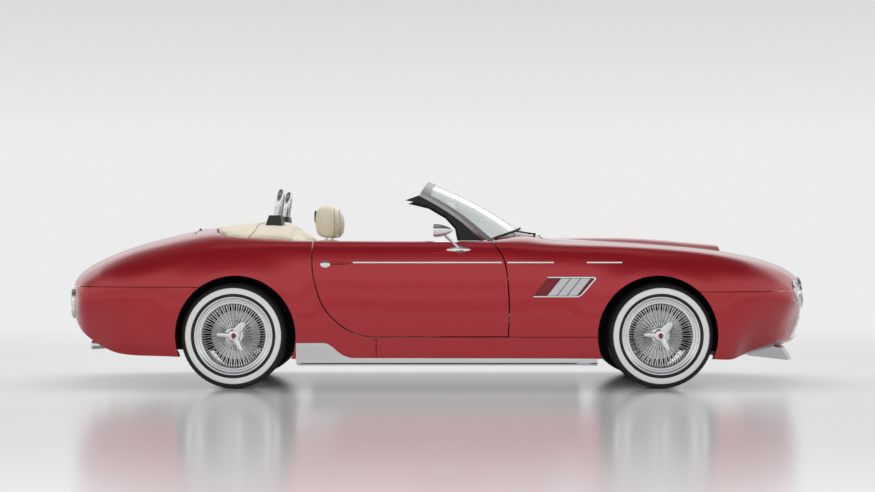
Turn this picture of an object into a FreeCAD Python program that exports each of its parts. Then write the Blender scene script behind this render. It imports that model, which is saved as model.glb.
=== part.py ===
"""Two-seat roadster convertible with wire wheels.

Millimetres. X points to the nose, Y to the car's left side, Z up. The ground is Z = 0 and the
origin is under the middle of the overall length.
"""
import FreeCAD, Part
import math
import os

os.makedirs("parts", exist_ok=True)
V = FreeCAD.Vector

# Running gear
REAR_AXLE_X = -1280.0
FRONT_AXLE_X = 1402.0
WHEEL_CENTRE_Z = 332.0
TRACK_HALF = 745.0
TYRE_RADIUS = 332.0
TYRE_WIDTH = 245.0
TYRE_TREAD_WIDTH = 160.0
BEAD_RADIUS = 234.0
TYRE_FACETS = 72
BEAD_WIDTH = 196.0
RIM_LIP_RADIUS = 246.0
RIM_LIP_WIDTH = 222.0
RIM_RING_RADIUS = 214.0
SPOKE_CIRCLE_RADIUS = 190.0
SPOKES_PER_ROW = 36
SPOKE_SIZE = 3.6
HUB_RADIUS = 48.0
HUB_OUTER_Y = 62.0
HUB_INNER_Y = -90.0
DISC_RADIUS = 155.0
DISC_THICKNESS = 22.0
SPINDLE_RADIUS = 22.0
SPINDLE_FIT = 0.05
HUB_CAP_RADIUS = 42.0
SPINNER_EAR_LENGTH = 107.0
SPINNER_EAR_ANGLES = (175.0, 52.0, -63.0)
KINGPIN_Y = 620.0
KINGPIN_RADIUS = 12.0
KINGPIN_FIT = 0.05
KINGPIN_HALF_HEIGHT = 122.0
UPRIGHT_HALF_HEIGHT = 84.0
ARM_HEIGHT = 105.0
ARM_THICKNESS = 22.0
ARM_ROOT_Y = 400.0

# Body skin
SKIN = 30.0
SEAT_GAP = 0.3
FRAME_THICKNESS = 24.0
PANEL_SEAM = 4.0
LID_GAP = 7.0
DOOR_GAP = 7.0
DOOR_INNER_Y = 745.0
DOOR_STEP = 30.0
ARCH_RADIUS = 378.0
REAR_ARCH_X = -1264.0
FRONT_ARCH_X = 1379.0
ARCH_Z = 333.0
ARCH_FLARE = 24.0
ARCH_FLARE_REACH = 170.0
LINER_THICKNESS = 6.0
FRONT_LINER_RADIUS = 432.0
FRONT_LINER_Y = 430.0
REAR_LINER_RADIUS = 402.0
REAR_LINER_Y = 575.0
SKIN_TAIL_X = -2388.0
SKIN_NOSE_X = 2388.0
TAIL_CROWN = 120.0
TAIL_ROUND_X = -1900.0
NOSE_CROWN = 165.0
NOSE_ROUND_X = 1760.0
NOSE_UNDERCUT_TOP_Z = 520.0
NOSE_UNDERCUT_SIDE = 200.0
NOSE_UNDERCUT_MIDDLE = 28.0

# Heights of the shut lines and trim
SILL_LINE_Z = 331.0
FRONT_SEAM_Z = 609.0
REAR_SEAM_Z = 638.0
STRIP_Z = 793.0
STRIP_HEIGHT = 12.0

# Cabin
CABIN_HALF_WIDTH = 735.0
CABIN_REAR_X = -1440.0
FLOOR_BOTTOM_Z = 162.0
FLOOR_THICKNESS = 24.0
FLOOR_HALF_WIDTH = 790.0
SILL_INNER_Y = 740.0
SILL_OUTER_Y = 815.0
SILL_TOP_Z = 318.0
REAR_BULKHEAD_X = -860.0
FIREWALL_X = 560.0
TUNNEL_HALF_WIDTH = 130.0
TUNNEL_TOP_Z = 420.0
RAIL_INNER_Y = 330.0
RAIL_OUTER_Y = 398.0
RAIL_BOTTOM_Z = 262.0
RAIL_TOP_Z = 352.0
BOOT_FLOOR_Z = 452.0

# Screen
SCREEN_BASE_X = 561.0
SCREEN_BASE_Z = 985.0
SCREEN_FOOT_X = 318.0
SCREEN_FOOT_Y = 716.0
SCREEN_FOOT_Z = 908.0
SCREEN_TOP_X = -62.0
SCREEN_TOP_Z = 1312.0
HEADER_END_X = -112.0
HEADER_END_Y = 600.0
HEADER_END_Z = 1226.0
SCREEN_FRAME_DEPTH = 22.0
GLASS_THICKNESS = 6.0

# Seats, deck and hoops
SEAT_Y = 362.0
SEAT_WIDTH = 450.0
HOOP_Y = 352.0
HOOP_HALF_WIDTH = 118.0
HOOP_TUBE_RADIUS = 22.0
HOOP_TOP_Z = 1270.0
HOOP_FOOT_Z = 700.0

# Joints
DOOR_HINGE_BACK = 30.0
DOOR_HINGE_INSET = 15.0
DOOR_HINGE_HEIGHTS = (430.0, 690.0)
HINGE_PIN_RADIUS = 4.0
HINGE_EYE_RADIUS = 8.0
HINGE_FIT = 0.05
BONNET_REAR_X = 672.0
BONNET_HINGE_Z = 962.0
BOOT_FRONT_X = -1562.0
BOOT_HINGE_Z = 1006.0
LID_EAR_RADIUS = 6.0

# Body lines along X, each a list of (x, value)
TOP_LINE = [(-2400, 690), (-2320, 752), (-2190, 822), (-1970, 905), (-1745, 966), (-1540, 1008),
            (-1400, 1022), (-1200, 1000), (-900, 955), (-600, 944), (0, 942), (300, 954),
            (440, 972), (560, 984), (640, 968), (720, 952), (900, 940), (1280, 921),
            (1690, 888), (1915, 860), (2115, 820), (2295, 758), (2385, 705)]
SHOULDER_Z = [(-2400, 660), (-2270, 705), (-2190, 745), (-1800, 838), (-1410, 910), (-1000, 924),
              (-300, 924), (400, 917), (640, 900), (1200, 886), (1585, 860), (1820, 828),
              (2050, 782), (2240, 722), (2385, 655)]
SHOULDER_Y = [(-2400, 560), (-2270, 650), (-1900, 740), (-1280, 805), (-500, 800), (400, 805),
              (1000, 800), (1400, 800), (1900, 730), (2240, 610), (2385, 520)]
WAIST_Y = [(-2400, 700), (-2270, 745), (-2000, 830), (-1650, 876), (-1280, 894), (-700, 890),
           (0, 888), (600, 889), (1000, 891), (1402, 892), (1800, 866), (2050, 818),
           (2240, 748), (2385, 670)]
WAIST_Z = [(-2400, 560), (-1280, 600), (0, 560), (1402, 590), (2385, 550)]
HEM_Y = [(-2400, 620), (-2270, 665), (-2000, 775), (-1660, 838), (-1280, 862), (0, 866),
         (1402, 862), (1760, 840), (2040, 738), (2240, 640), (2385, 560)]
HEM_Z = [(-2400, 434), (-2370, 372), (-2310, 313), (-2050, 222), (-1650, 203), (-1280, 192),
         (0, 188), (1402, 190), (1760, 186), (1860, 180), (2040, 196), (2200, 225), (2385, 262)]
CROWN = [(0, 0), (.25, .03), (.5, .14), (.72, .34), (.88, .6), (1, 1)]
UPPER_SIDE = [(.45, .15), (.75, .38), (.93, .65), (1, .92)]
LOWER_SIDE = [(.03, .2), (.2, .5), (.55, .8), (1, 1)]
TAIL_TUCK = [(.62, .40, 13), (.78, .58, 12), (.90, .80, 6), (.97, .95, -14)]
NOSE_TUCK = [(.97, .95, -6), (.90, .80, 14), (.78, .58, 22), (.62, .40, 24)]
STATIONS = 66

# Door outline in side view, clockwise from the top rear
DOOR_REAR = [(-777, 1010), (-781, 925), (-784, 834), (-777, 725), (-749, 607), (-707, 510),
             (-642, 435), (-545, 365), (-459, 338), (-384, 331)]
DOOR_FRONT = [(439, 331), (445, 510), (439, 640), (424, 769), (410, 818), (372, 882),
              (338, 935), (300, 1010)]


def line_value(points, x):
    """A smooth line through points: cubic between neighbours, flat beyond the ends."""
    if x <= points[0][0]:
        return points[0][1]
    if x >= points[-1][0]:
        return points[-1][1]
    last = len(points) - 1
    i = max(k for k in range(last) if points[k][0] <= x)

    def slope(k):
        a = max(k - 1, 0)
        b = min(k + 1, last)
        return (points[b][1] - points[a][1]) / (points[b][0] - points[a][0])

    x0, y0 = points[i]
    x1, y1 = points[i + 1]
    h = x1 - x0
    t = (x - x0) / h
    return ((2 * t**3 - 3 * t**2 + 1) * y0 + (t**3 - 2 * t**2 + t) * h * slope(i)
            + (3 * t**2 - 2 * t**3) * y1 + (t**3 - t**2) * h * slope(i + 1))


def ease(t):
    t = max(0.0, min(1.0, t))
    return t * t * (3 - 2 * t)


def end_shift(x, y, z, waist):
    """How far a point is moved along X to round the tail and the nose in plan and below."""
    tail = ease((TAIL_ROUND_X - x) / 500)
    nose = ease((x - NOSE_ROUND_X) / (2385 - NOSE_ROUND_X))
    under = max(0.0, min(1.0, (NOSE_UNDERCUT_TOP_Z - z) / 320))
    across = (y / waist) ** 2
    undercut = under * (NOSE_UNDERCUT_SIDE * across + NOSE_UNDERCUT_MIDDLE)
    return tail * TAIL_CROWN * across - nose * (NOSE_CROWN * across + undercut)


def section(x, narrow, low, inset):
    """One cross section of the body from the centreline round to the hem, inset from the skin."""
    top = line_value(TOP_LINE, x) - inset
    shoulder_z = line_value(SHOULDER_Z, x) - 0.9 * inset
    shoulder_y = line_value(SHOULDER_Y, x) - 0.8 * inset
    waist = line_value(WAIST_Y, x) - inset
    waist_z = line_value(WAIST_Z, x)
    hem_y = line_value(HEM_Y, x) - inset
    hem_z = line_value(HEM_Z, x) + inset
    half = [(a * shoulder_y, top - c * (top - shoulder_z)) for a, c in CROWN]
    half += [(shoulder_y + a * (waist - shoulder_y), shoulder_z - c * (shoulder_z - waist_z))
             for a, c in UPPER_SIDE]
    half += [(waist - a * (waist - hem_y), waist_z - c * (waist_z - hem_z)) for a, c in LOWER_SIDE]
    middle = 0.5 * (shoulder_z + hem_z)
    points = []
    for y, z in half:
        if y > 0.8 * shoulder_y:
            for arch_x in (REAR_ARCH_X, FRONT_ARCH_X):
                away = math.hypot(x - arch_x, z - ARCH_Z) - ARCH_RADIUS
                y += (ARCH_FLARE * ease(1 - away / ARCH_FLARE_REACH)
                      * min(1, (y - 0.8 * shoulder_y) / (0.2 * shoulder_y)))
        y *= narrow
        z = middle + (z - middle) * low
        points.append((x + end_shift(x, y, z, waist), y, z))
    return points


def spline_surface(rows):
    def knots(count):
        spans = count - 3
        return list(range(spans + 1)), [4] + [1] * (spans - 1) + [4]
    ku, mu = knots(len(rows))
    kv, mv = knots(len(rows[0]))
    surface = Part.BSplineSurface()
    surface.buildFromPolesMultsKnots([[V(*p) for p in row] for row in rows], mu, mv, ku, kv,
                                     False, False, 3, 3)
    return surface


def body_form(inset):
    """The whole body as one solid, drawn in by inset from the outer skin."""
    scale = (SKIN_NOSE_X - inset) / SKIN_NOSE_X
    stations = [(SKIN_TAIL_X - d, n, l) for n, l, d in TAIL_TUCK]
    stations += [(SKIN_TAIL_X + 48 + i * (SKIN_NOSE_X - SKIN_TAIL_X - 116) / (STATIONS - 1), 1, 1)
                 for i in range(STATIONS)]
    stations += [(SKIN_NOSE_X + d, n, l) for n, l, d in NOSE_TUCK]
    rows = []
    floor_rows = []
    for x, narrow, low in stations:
        half = section(x * scale, narrow, low, inset)
        rows.append([(px, -y, z) for px, y, z in reversed(half)] + half[1:])
        hem_x, hem_y, hem_z = half[-1]
        bow = 4 / 3 * (x * scale + end_shift(x * scale, 0, hem_z, hem_y) - hem_x)
        floor_rows.append([(hem_x + bow * b, hem_y * a, hem_z)
                           for a, b in ((-1, 0), (-1 / 3, 1), (1 / 3, 1), (1, 0))])
    upper = spline_surface(rows)
    lower = spline_surface(floor_rows)
    last = upper.bounds()[1]
    caps = [Part.makeRuledSurface(upper.uIso(k).toShape(), lower.uIso(k).toShape())
            for k in (0, last)]
    shell = Part.makeShell([upper.toShape(), lower.toShape()] + caps)
    shell.sewShape()
    return Part.makeSolid(Part.Shell(shell.Faces))


def box(x0, x1, y0, y1, z0, z1):
    return Part.makeBox(x1 - x0, y1 - y0, z1 - z0, V(x0, y0, z0))


def mirror(shape):
    return shape.mirror(V(0, 0, 0), V(0, 1, 0))


def pair(shape):
    return [shape, mirror(shape)]


def polygon(points):
    return Part.makePolygon([V(*p) for p in points] + [V(*points[0])])


def prism_y(points, y0, y1):
    """An outline in side view, pushed across the car."""
    face = Part.Face(polygon([(x, y0, z) for x, z in points]))
    return face.extrude(V(0, y1 - y0, 0))


def prism_z(points, z0, z1):
    face = Part.Face(polygon([(x, y, z0) for x, y in points]))
    return face.extrude(V(0, 0, z1 - z0))


def prism_x(points, x0, x1):
    face = Part.Face(polygon([(x0, y, z) for y, z in points]))
    return face.extrude(V(x1 - x0, 0, 0))


def spline_edge(points):
    curve = Part.BSplineCurve()
    curve.interpolate([V(*p) for p in points])
    return curve.toShape()


def cylinder_y(x, z, radius, y0, y1):
    return Part.makeCylinder(radius, y1 - y0, V(x, y0, z), V(0, 1, 0))


def cylinder_z(x, y, radius, z0, z1):
    return Part.makeCylinder(radius, z1 - z0, V(x, y, z0), V(0, 0, 1))


def rod(a, b, radius):
    a, b = V(*a), V(*b)
    return Part.makeCylinder(radius, (b - a).Length, a, b - a)


def bar(a, b, size):
    """A square bar between two points."""
    a, b = V(*a), V(*b)
    along = b - a
    side = V(0, 0, 1).cross(along)
    if side.Length < 1e-6:
        side = V(0, 1, 0)
    side.normalize()
    up = along.cross(side)
    up.normalize()
    h = size / 2
    corners = [a + side * i * h + up * j * h for i, j in ((1, 1), (-1, 1), (-1, -1), (1, -1))]
    return Part.Face(Part.makePolygon(corners + [corners[0]])).extrude(along)


def revolve_y(profile, x, z):
    """A closed profile of (radius, y) turned about the axis through x, z along Y."""
    face = Part.Face(polygon([(x + r, y, z) for r, y in profile]))
    return face.revolve(V(x, 0, z), V(0, 1, 0), 360)


def fuse(shapes):
    shapes = list(shapes)
    return shapes[0].multiFuse(shapes[1:]).removeSplitter() if len(shapes) > 1 else shapes[0]


def solids(shape, smallest=2000.0):
    """The solids of a shape, leaving out crumbs of a cut."""
    return [s for s in shape.Solids if s.Volume > smallest]


def loft(sections, ruled=False):
    wires = [polygon(s) for s in sections]
    return Part.makeLoft(wires, True, ruled)


def ellipse_wire(x, y, z, half_y, half_z, count=16):
    """A closed smooth oval facing along X."""
    points = []
    for k in range(count):
        a = 2 * math.pi * k / count
        points.append(V(x, y + half_y * math.cos(a), z + half_z * math.sin(a)))
    curve = Part.BSplineCurve()
    curve.interpolate(Points=points, PeriodicFlag=True)
    return Part.Wire([curve.toShape()])


def oval_ring(x0, x1, y, z, half_y, half_z, wall):
    outer = Part.Face(ellipse_wire(x0, y, z, half_y, half_z)).extrude(V(x1 - x0, 0, 0))
    inner = Part.Face(ellipse_wire(x0 - 5, y, z, half_y - wall, half_z - wall))
    return outer.cut(inner.extrude(V(x1 - x0 + 10, 0, 0)))


def oval_block(x0, x1, y, z, half_y, half_z):
    return Part.Face(ellipse_wire(x0, y, z, half_y, half_z)).extrude(V(x1 - x0, 0, 0))


def door_prism(grow, y0, y1):
    """The door outline grown on every side, pushed across from y0 to y1."""
    rear = [(x - grow * nx, z - grow * nz) for (x, z), (nx, nz) in zip(DOOR_REAR, REAR_NORMALS)]
    front = [(x + grow * nx, z + grow * nz) for (x, z), (nx, nz) in zip(DOOR_FRONT, FRONT_NORMALS)]
    front[0] = (DOOR_FRONT[0][0] + grow, DOOR_FRONT[0][1] - grow)
    edges = [spline_edge([(x, y0, z) for x, z in rear]),
             Part.makeLine(V(rear[-1][0], y0, rear[-1][1]), V(front[0][0], y0, front[0][1])),
             spline_edge([(x, y0, z) for x, z in front]),
             Part.makeLine(V(front[-1][0], y0, front[-1][1]), V(rear[0][0], y0, rear[0][1]))]
    return Part.Face(Part.Wire(edges)).extrude(V(0, y1 - y0, 0))


def normals(points, turn):
    out = []
    last = len(points) - 1
    for k in range(len(points)):
        a = points[max(k - 1, 0)]
        b = points[min(k + 1, last)]
        dx, dz = b[0] - a[0], b[1] - a[1]
        size = math.hypot(dx, dz)
        out.append((turn * dz / size, -turn * dx / size))
    return out


REAR_NORMALS = normals(DOOR_REAR, -1)
FRONT_NORMALS = normals(DOOR_FRONT, 1)


def skin_y(form, x, z):
    """How far out the skin stands from the middle plane at x, z."""
    ray = Part.makeLine(V(x, 0, z), V(x, 1200, z))
    return form.common(ray).BoundBox.YMax


def skin_z(form, x, y):
    ray = Part.makeLine(V(x, y, 0), V(x, y, 1600))
    return form.common(ray).BoundBox.ZMax


def skin_x_front(form, y, z):
    ray = Part.makeLine(V(0, y, z), V(3000, y, z))
    return form.common(ray).BoundBox.XMax


def closed_block(front, back):
    """A solid between two grids of points of the same size."""
    faces = [spline_surface(front), spline_surface(back)]
    shapes = [f.toShape() for f in faces]
    u1, v1 = faces[0].bounds()[1], faces[0].bounds()[3]
    for k in (0, u1):
        shapes.append(Part.makeRuledSurface(faces[0].uIso(k).toShape(), faces[1].uIso(k).toShape()))
    for k in (0, v1):
        shapes.append(Part.makeRuledSurface(faces[0].vIso(k).toShape(), faces[1].vIso(k).toShape()))
    shell = Part.makeShell(shapes)
    shell.sewShape()
    solid = Part.makeSolid(Part.Shell(shell.Faces))
    if solid.Volume < 0:
        solid.reverse()
    return solid


def layer(tool, outer, inner):
    """The part of a tool that lies between two forms of the body."""
    return outer.common(tool).cut(inner)


def off_skin(shape, body):
    """A shape with the body taken out of it, working only on the stretch of body nearby."""
    b = shape.BoundBox
    near = body.common(box(b.XMin - 5, b.XMax + 5, b.YMin - 5, b.YMax + 5, b.ZMin - 5, b.ZMax + 5))
    return shape.cut(near)


def largest(shape):
    return max(shape.Solids, key=lambda s: s.Volume)


def export(name, shapes):
    shapes = shapes if isinstance(shapes, list) else [shapes]
    pieces = []
    for shape in shapes:
        pieces += shape.Solids
    whole = pieces[0] if len(pieces) == 1 else Part.makeCompound(pieces)
    whole.exportStep("parts/" + name + ".step")


# Body skin and its cuts
form = body_form(0.0)
lining = body_form(SKIN)
seat_form = body_form(SKIN + SEAT_GAP)
skin = form.cut(lining)

arches = []
for arch_x in (REAR_ARCH_X, FRONT_ARCH_X):
    for y0 in (-1000.0, 560.0):
        arches.append(cylinder_y(arch_x, ARCH_Z, ARCH_RADIUS, y0, y0 + 440))
BELLY_LIP = 48.0
belly_side = [(x, min(line_value(HEM_Y, x) - BELLY_LIP, SILL_OUTER_Y + SEAT_GAP))
              for x in range(-1850, 1800, 150)]
belly_outline = [(-2150, 560)] + belly_side + [(1790, 780)]
belly_outline += [(x, -y) for x, y in reversed(belly_outline)]
belly = prism_z(belly_outline, 100, 265)

cabin_outline = [(SCREEN_BASE_X - 26 - (SCREEN_BASE_X - SCREEN_FOOT_X + 8) * (k / 8) ** 2,
                  k / 8 * CABIN_HALF_WIDTH) for k in range(-8, 9)]
cabin_outline += [(-1250, CABIN_HALF_WIDTH - 12), (-1350, CABIN_HALF_WIDTH - 60),
                  (-1410, CABIN_HALF_WIDTH - 170), (CABIN_REAR_X, CABIN_HALF_WIDTH - 400),
                  (CABIN_REAR_X, 400 - CABIN_HALF_WIDTH), (-1410, 170 - CABIN_HALF_WIDTH),
                  (-1350, 60 - CABIN_HALF_WIDTH), (-1250, 12 - CABIN_HALF_WIDTH)]
cabin_hole = prism_z(cabin_outline, 480, 1200)

GRILLE_Z = 594.0
GRILLE_HALF_Y = 330.0
GRILLE_HALF_Z = 122.0
grille_hole = oval_block(2150, 2600, 0, GRILLE_Z, GRILLE_HALF_Y, GRILLE_HALF_Z)
INTAKE_Z0 = 300.0
INTAKE_Z1 = 430.0
INTAKE_HALF_Y = 360.0
intake_hole = box(2100, 2600, -INTAKE_HALF_Y, INTAKE_HALF_Y, INTAKE_Z0, INTAKE_Z1)
LAMP_Y = 458.0
LAMP_Z = 604.0
LAMP_RADIUS = 68.0


def lamp_plug(radius):
    """A round bar along X through the place of the left headlamp."""
    return Part.makeCylinder(radius, 500, V(2150, LAMP_Y, LAMP_Z), V(1, 0, 0))


VENT_OUTLINE = [(596, 580), (884, 580), (908, 590), (992, 694), (980, 698), (690, 698)]
vent_hole = [prism_y(VENT_OUTLINE, y, y + 500) for y in (600, -1100)]

skin = skin.cut(Part.makeCompound(arches + [belly, cabin_hole, grille_hole, intake_hole]
                                  + vent_hole + pair(lamp_plug(LAMP_RADIUS + SEAT_GAP))))

# Shut lines
door_cut = door_prism(DOOR_GAP, -1100, 1100)
BONNET_HALF = 560.0
BONNET_NOSE_HALF = 400.0
BONNET_FRONT_X = 2030.0


def bonnet_outline(grow):
    """Plan outline of the bonnet, straight at the hinge and rounded at the nose."""
    points = [(BONNET_REAR_X + 3 - grow, -(BONNET_HALF + grow)),
              (BONNET_REAR_X + 200, -(BONNET_HALF + grow))]
    steps = 6
    for k in range(steps + 1):
        t = k / steps
        points.append((900 + t * (BONNET_FRONT_X - 80 - 900),
                       -(BONNET_HALF - (BONNET_HALF - BONNET_NOSE_HALF) * t**1.6 + grow)))
    points.append((BONNET_FRONT_X + grow * 0.8, -(BONNET_NOSE_HALF - 90)))
    points.append((BONNET_FRONT_X + 24 + grow, -(BONNET_NOSE_HALF - 240)))
    points.append((BONNET_FRONT_X + 30 + grow, 0))
    return points[:-1] + [points[-1]] + [(x, -y) for x, y in reversed(points[:-1])]


BOOT_HALF = 500.0
BOOT_TAIL_HALF = 410.0
BOOT_REAR_X = -2262.0


def boot_outline(grow):
    points = [(BOOT_FRONT_X - 3 + grow, BOOT_HALF + grow), (BOOT_FRONT_X - 180, BOOT_HALF + grow)]
    for k in range(5):
        t = k / 4
        points.append((-1800 - t * (-1800 - BOOT_REAR_X - 90),
                       BOOT_HALF - (BOOT_HALF - BOOT_TAIL_HALF) * t**1.5 + grow))
    points.append((BOOT_REAR_X + 16 - grow, BOOT_TAIL_HALF - 90))
    points.append((BOOT_REAR_X - grow, BOOT_TAIL_HALF - 260))
    points.append((BOOT_REAR_X - 4 - grow, 0))
    return points + [(x, -y) for x, y in reversed(points[:-1])]


bonnet_tool = prism_z(bonnet_outline(0), 600, 1200)
bonnet_cut = prism_z(bonnet_outline(LID_GAP), 600, 1200)
boot_tool = prism_z(boot_outline(0), 680, 1200)
boot_cut = prism_z(boot_outline(LID_GAP), 660, 1200)

half_seam = PANEL_SEAM / 2
nose_region = box(FRONT_ARCH_X, 2700, -1200, 1200, 0, FRONT_SEAM_Z - half_seam)
tail_region = box(-2700, REAR_ARCH_X, -1200, 1200, 0, REAR_SEAM_Z - half_seam)
above_nose = box(FRONT_ARCH_X, 2700, -1200, 1200, 0, FRONT_SEAM_Z + half_seam)
above_tail = box(-2700, REAR_ARCH_X, -1200, 1200, 0, REAR_SEAM_Z + half_seam)
sill_region = box(DOOR_REAR[-1][0] + half_seam, FRONT_ARCH_X, -1200, 1200, 0,
                  SILL_LINE_Z - DOOR_GAP)
above_sill = box(DOOR_REAR[-1][0] - half_seam, FRONT_ARCH_X, -1200, 1200, 0,
                 SILL_LINE_Z - DOOR_GAP + PANEL_SEAM)

nose_cover = skin.common(nose_region)
PIPE_RADIUS = 27.0
PIPE_Z = 257.0
PIPE_REAR_X = -2205.0
PIPE_YS = (-390.0, -318.0, 318.0, 390.0)
MUFFLER_X = -1760.0
MUFFLER_Z = 290.0
MUFFLER_RADIUS = 72.0
PIPE_RISE = 28.0
PIPE_ROOM = 7.0
pipe_channels = [rod((PIPE_REAR_X - 222, y, PIPE_Z - PIPE_RISE / 2), (MUFFLER_X, y, PIPE_Z + PIPE_RISE),
                     PIPE_RADIUS + PIPE_ROOM) for y in PIPE_YS]
pipe_channels.append(cylinder_y(MUFFLER_X, MUFFLER_Z, MUFFLER_RADIUS + PIPE_ROOM, -427, 427))
tail_cover = skin.common(tail_region).cut(Part.makeCompound(pipe_channels))
sills = skin.common(sill_region)
bonnet_skin = skin.common(bonnet_tool)
boot_skin = skin.common(boot_tool)
rest = skin.cut(Part.makeCompound([door_cut, bonnet_cut, boot_cut, above_nose, above_tail,
                                   above_sill]))
front_wings = rest.common(box(0, 2700, -1200, 1200, 0, 1300))
rear_quarters = rest.common(box(-2700, -0, -1200, 1200, 0, 1300))

# Bonnet bulge, open at the front as a scoop
BULGE_HALF = 190.0
BULGE_FRONT_X = 1860.0
BULGE_LINE = [(700, 0), (800, 3), (1000, 14), (1280, 24.5), (1500, 27), (1690, 27), (1860, 30)]


def crown_z(x, y):
    """Height of the skin's own formula over the bonnet."""
    top = line_value(TOP_LINE, x)
    share = min(1.0, abs(y) / line_value(SHOULDER_Y, x))
    return top - line_value(CROWN, share) * (top - line_value(SHOULDER_Z, x))


def bulge_height(x, across):
    """How far the bulge stands over the skin at a share of its half width."""
    rise = line_value(BULGE_LINE, x) + 3
    return rise * (1 - abs(across) ** 3) ** 1.4 * 1.12 - 3


def bulge_grid(drop):
    rows = []
    for k in range(27):
        x = 690 + (BULGE_FRONT_X - 690) * k / 26
        wide = BULGE_HALF * (0.5 + 0.5 * ease((x - 690) / 700))
        row = []
        for j in range(21):
            a = j / 10 - 1
            y = a * wide * (1.0 if drop == 0 else 1.02)
            lift = bulge_height(x, a) if drop == 0 else -drop
            row.append((x, y, crown_z(x, y) + lift))
        rows.append(row)
    return rows


bulge = closed_block(bulge_grid(0), bulge_grid(44))
scoop_mouth = []
for bx, shrink in ((BULGE_FRONT_X - 110, .8), (BULGE_FRONT_X + 10, 1.0)):
    z_mid = line_value(TOP_LINE, bx) + 11
    scoop_mouth.append([(bx, a * (BULGE_HALF - 44) * shrink, z_mid + b * 11 * shrink)
                        for a, b in ((-1, -1), (1, -1), (1, .3), (.7, .9), (-.7, .9), (-1, .3))])
bulge = bulge.cut(loft(scoop_mouth, True))
bonnet_lining_cut = lining.common(box(600, 2200, -700, 700, 500, 1100))
bonnet = fuse([bonnet_skin, bulge.cut(bonnet_lining_cut)])

# Hinge ears of the bonnet and the boot lid on their shut lines
bonnet_pins = []
bonnet_ears = []
boot_pins = []
boot_ears = []
for y_mid in (-150.0, 150.0):
    for ears, pins, x, z in ((bonnet_ears, bonnet_pins, BONNET_REAR_X, BONNET_HINGE_Z),
                             (boot_ears, boot_pins, BOOT_FRONT_X, BOOT_HINGE_Z)):
        ears.append(cylinder_y(x, z, LID_EAR_RADIUS, y_mid - 34, y_mid - 12))
        ears.append(cylinder_y(x, z, LID_EAR_RADIUS, y_mid + 12, y_mid + 34))
        pins.append(fuse([cylinder_y(x, z, LID_EAR_RADIUS, y_mid - 11, y_mid + 11),
                          cylinder_y(x, z, HINGE_PIN_RADIUS, y_mid - 30, y_mid + 30)]))


def ear_hole(x, z, y_mid):
    return cylinder_y(x, z, HINGE_PIN_RADIUS + HINGE_FIT, y_mid - 30.1, y_mid + 30.1)


def lid_with_ears(lid, ears, x, z, away):
    """A lid that carries its hinge ears, with room cut for the fixed knuckle between them."""
    feet = []
    for ear in ears:
        b = ear.BoundBox
        feet.append(box(min(x, x + away), max(x, x + away), b.YMin, b.YMax, z - 22, z - 5))
    lid = fuse([lid] + ears + feet)
    room = []
    for y_mid in (-150.0, 150.0):
        room.append(cylinder_y(x, z, LID_EAR_RADIUS + 3, y_mid - 11.5, y_mid + 11.5))
        room.append(ear_hole(x, z, y_mid))
    return lid.cut(Part.makeCompound(room))


def panel_with_knuckles(panel, pins, x, z, away):
    """A fixed panel that carries the hinge knuckles, with room cut for the lid's ears."""
    room = []
    feet = []
    for y_mid in (-150.0, 150.0):
        room.append(cylinder_y(x, z, LID_EAR_RADIUS + 3, y_mid - 36, y_mid - 11.2))
        room.append(cylinder_y(x, z, LID_EAR_RADIUS + 3, y_mid + 11.2, y_mid + 36))
        feet.append(box(min(x, x + away), max(x, x + away), y_mid - 11, y_mid + 11, z - 22, z - 5))
    panel = panel.cut(Part.makeCompound(room))
    return fuse([panel] + feet + pins)


bonnet = lid_with_ears(bonnet, bonnet_ears, BONNET_REAR_X, BONNET_HINGE_Z, 12)
front_wings = panel_with_knuckles(front_wings, bonnet_pins, BONNET_REAR_X, BONNET_HINGE_Z, -12)
boot_lid = lid_with_ears(boot_skin, boot_ears, BOOT_FRONT_X, BOOT_HINGE_Z, -12)
rear_quarters = panel_with_knuckles(rear_quarters, boot_pins, BOOT_FRONT_X, BOOT_HINGE_Z, 12)

# Doors: outer part to the shut line, inner part stepped in all round
door_form = form.cut(Part.makeCompound(arches))
door_half = door_prism(0, DOOR_INNER_Y, 1100)
outer_part = form.common(door_half).cut(body_form(SKIN + 6))
inner_part = form.common(door_prism(-DOOR_STEP, DOOR_INNER_Y, 1100))
top_trim = box(-900, 500, DOOR_INNER_Y - 5, 1100, 200, 918)
door = fuse([outer_part, inner_part.common(top_trim)])
door = max(door.Solids, key=lambda s: s.Volume)
hinge_x = DOOR_FRONT[1][0] - DOOR_HINGE_BACK
hinge_y = min(skin_y(form, hinge_x, z) for z in DOOR_HINGE_HEIGHTS) - DOOR_HINGE_INSET
straps = []
for hz in DOOR_HINGE_HEIGHTS:
    pocket = box(hinge_x - 22, 600, 700, hinge_y + HINGE_EYE_RADIUS + 2, hz - 24, hz + 24)
    door = door.cut(pocket)
    door = fuse([door, cylinder_z(hinge_x, hinge_y, HINGE_PIN_RADIUS, hz - 30, hz + 30)])
    eye = cylinder_z(hinge_x, hinge_y, HINGE_EYE_RADIUS, hz - 12, hz + 12)
    neck = box(hinge_x - 6, hinge_x + 6, hinge_y - 62, hinge_y, hz - 10, hz + 10)
    foot = box(hinge_x - 6, 500, hinge_y - 74, hinge_y - 60, hz - 10, hz + 10)
    strap = fuse([eye, neck, foot])
    straps.append(strap.cut(cylinder_z(hinge_x, hinge_y, HINGE_PIN_RADIUS + HINGE_FIT,
                                       hz - 13, hz + 13)))


def door_front_x(z):
    """Where the front edge of the door stands at a height."""
    return line_value([(b, a) for a, b in DOOR_FRONT], z)


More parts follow.
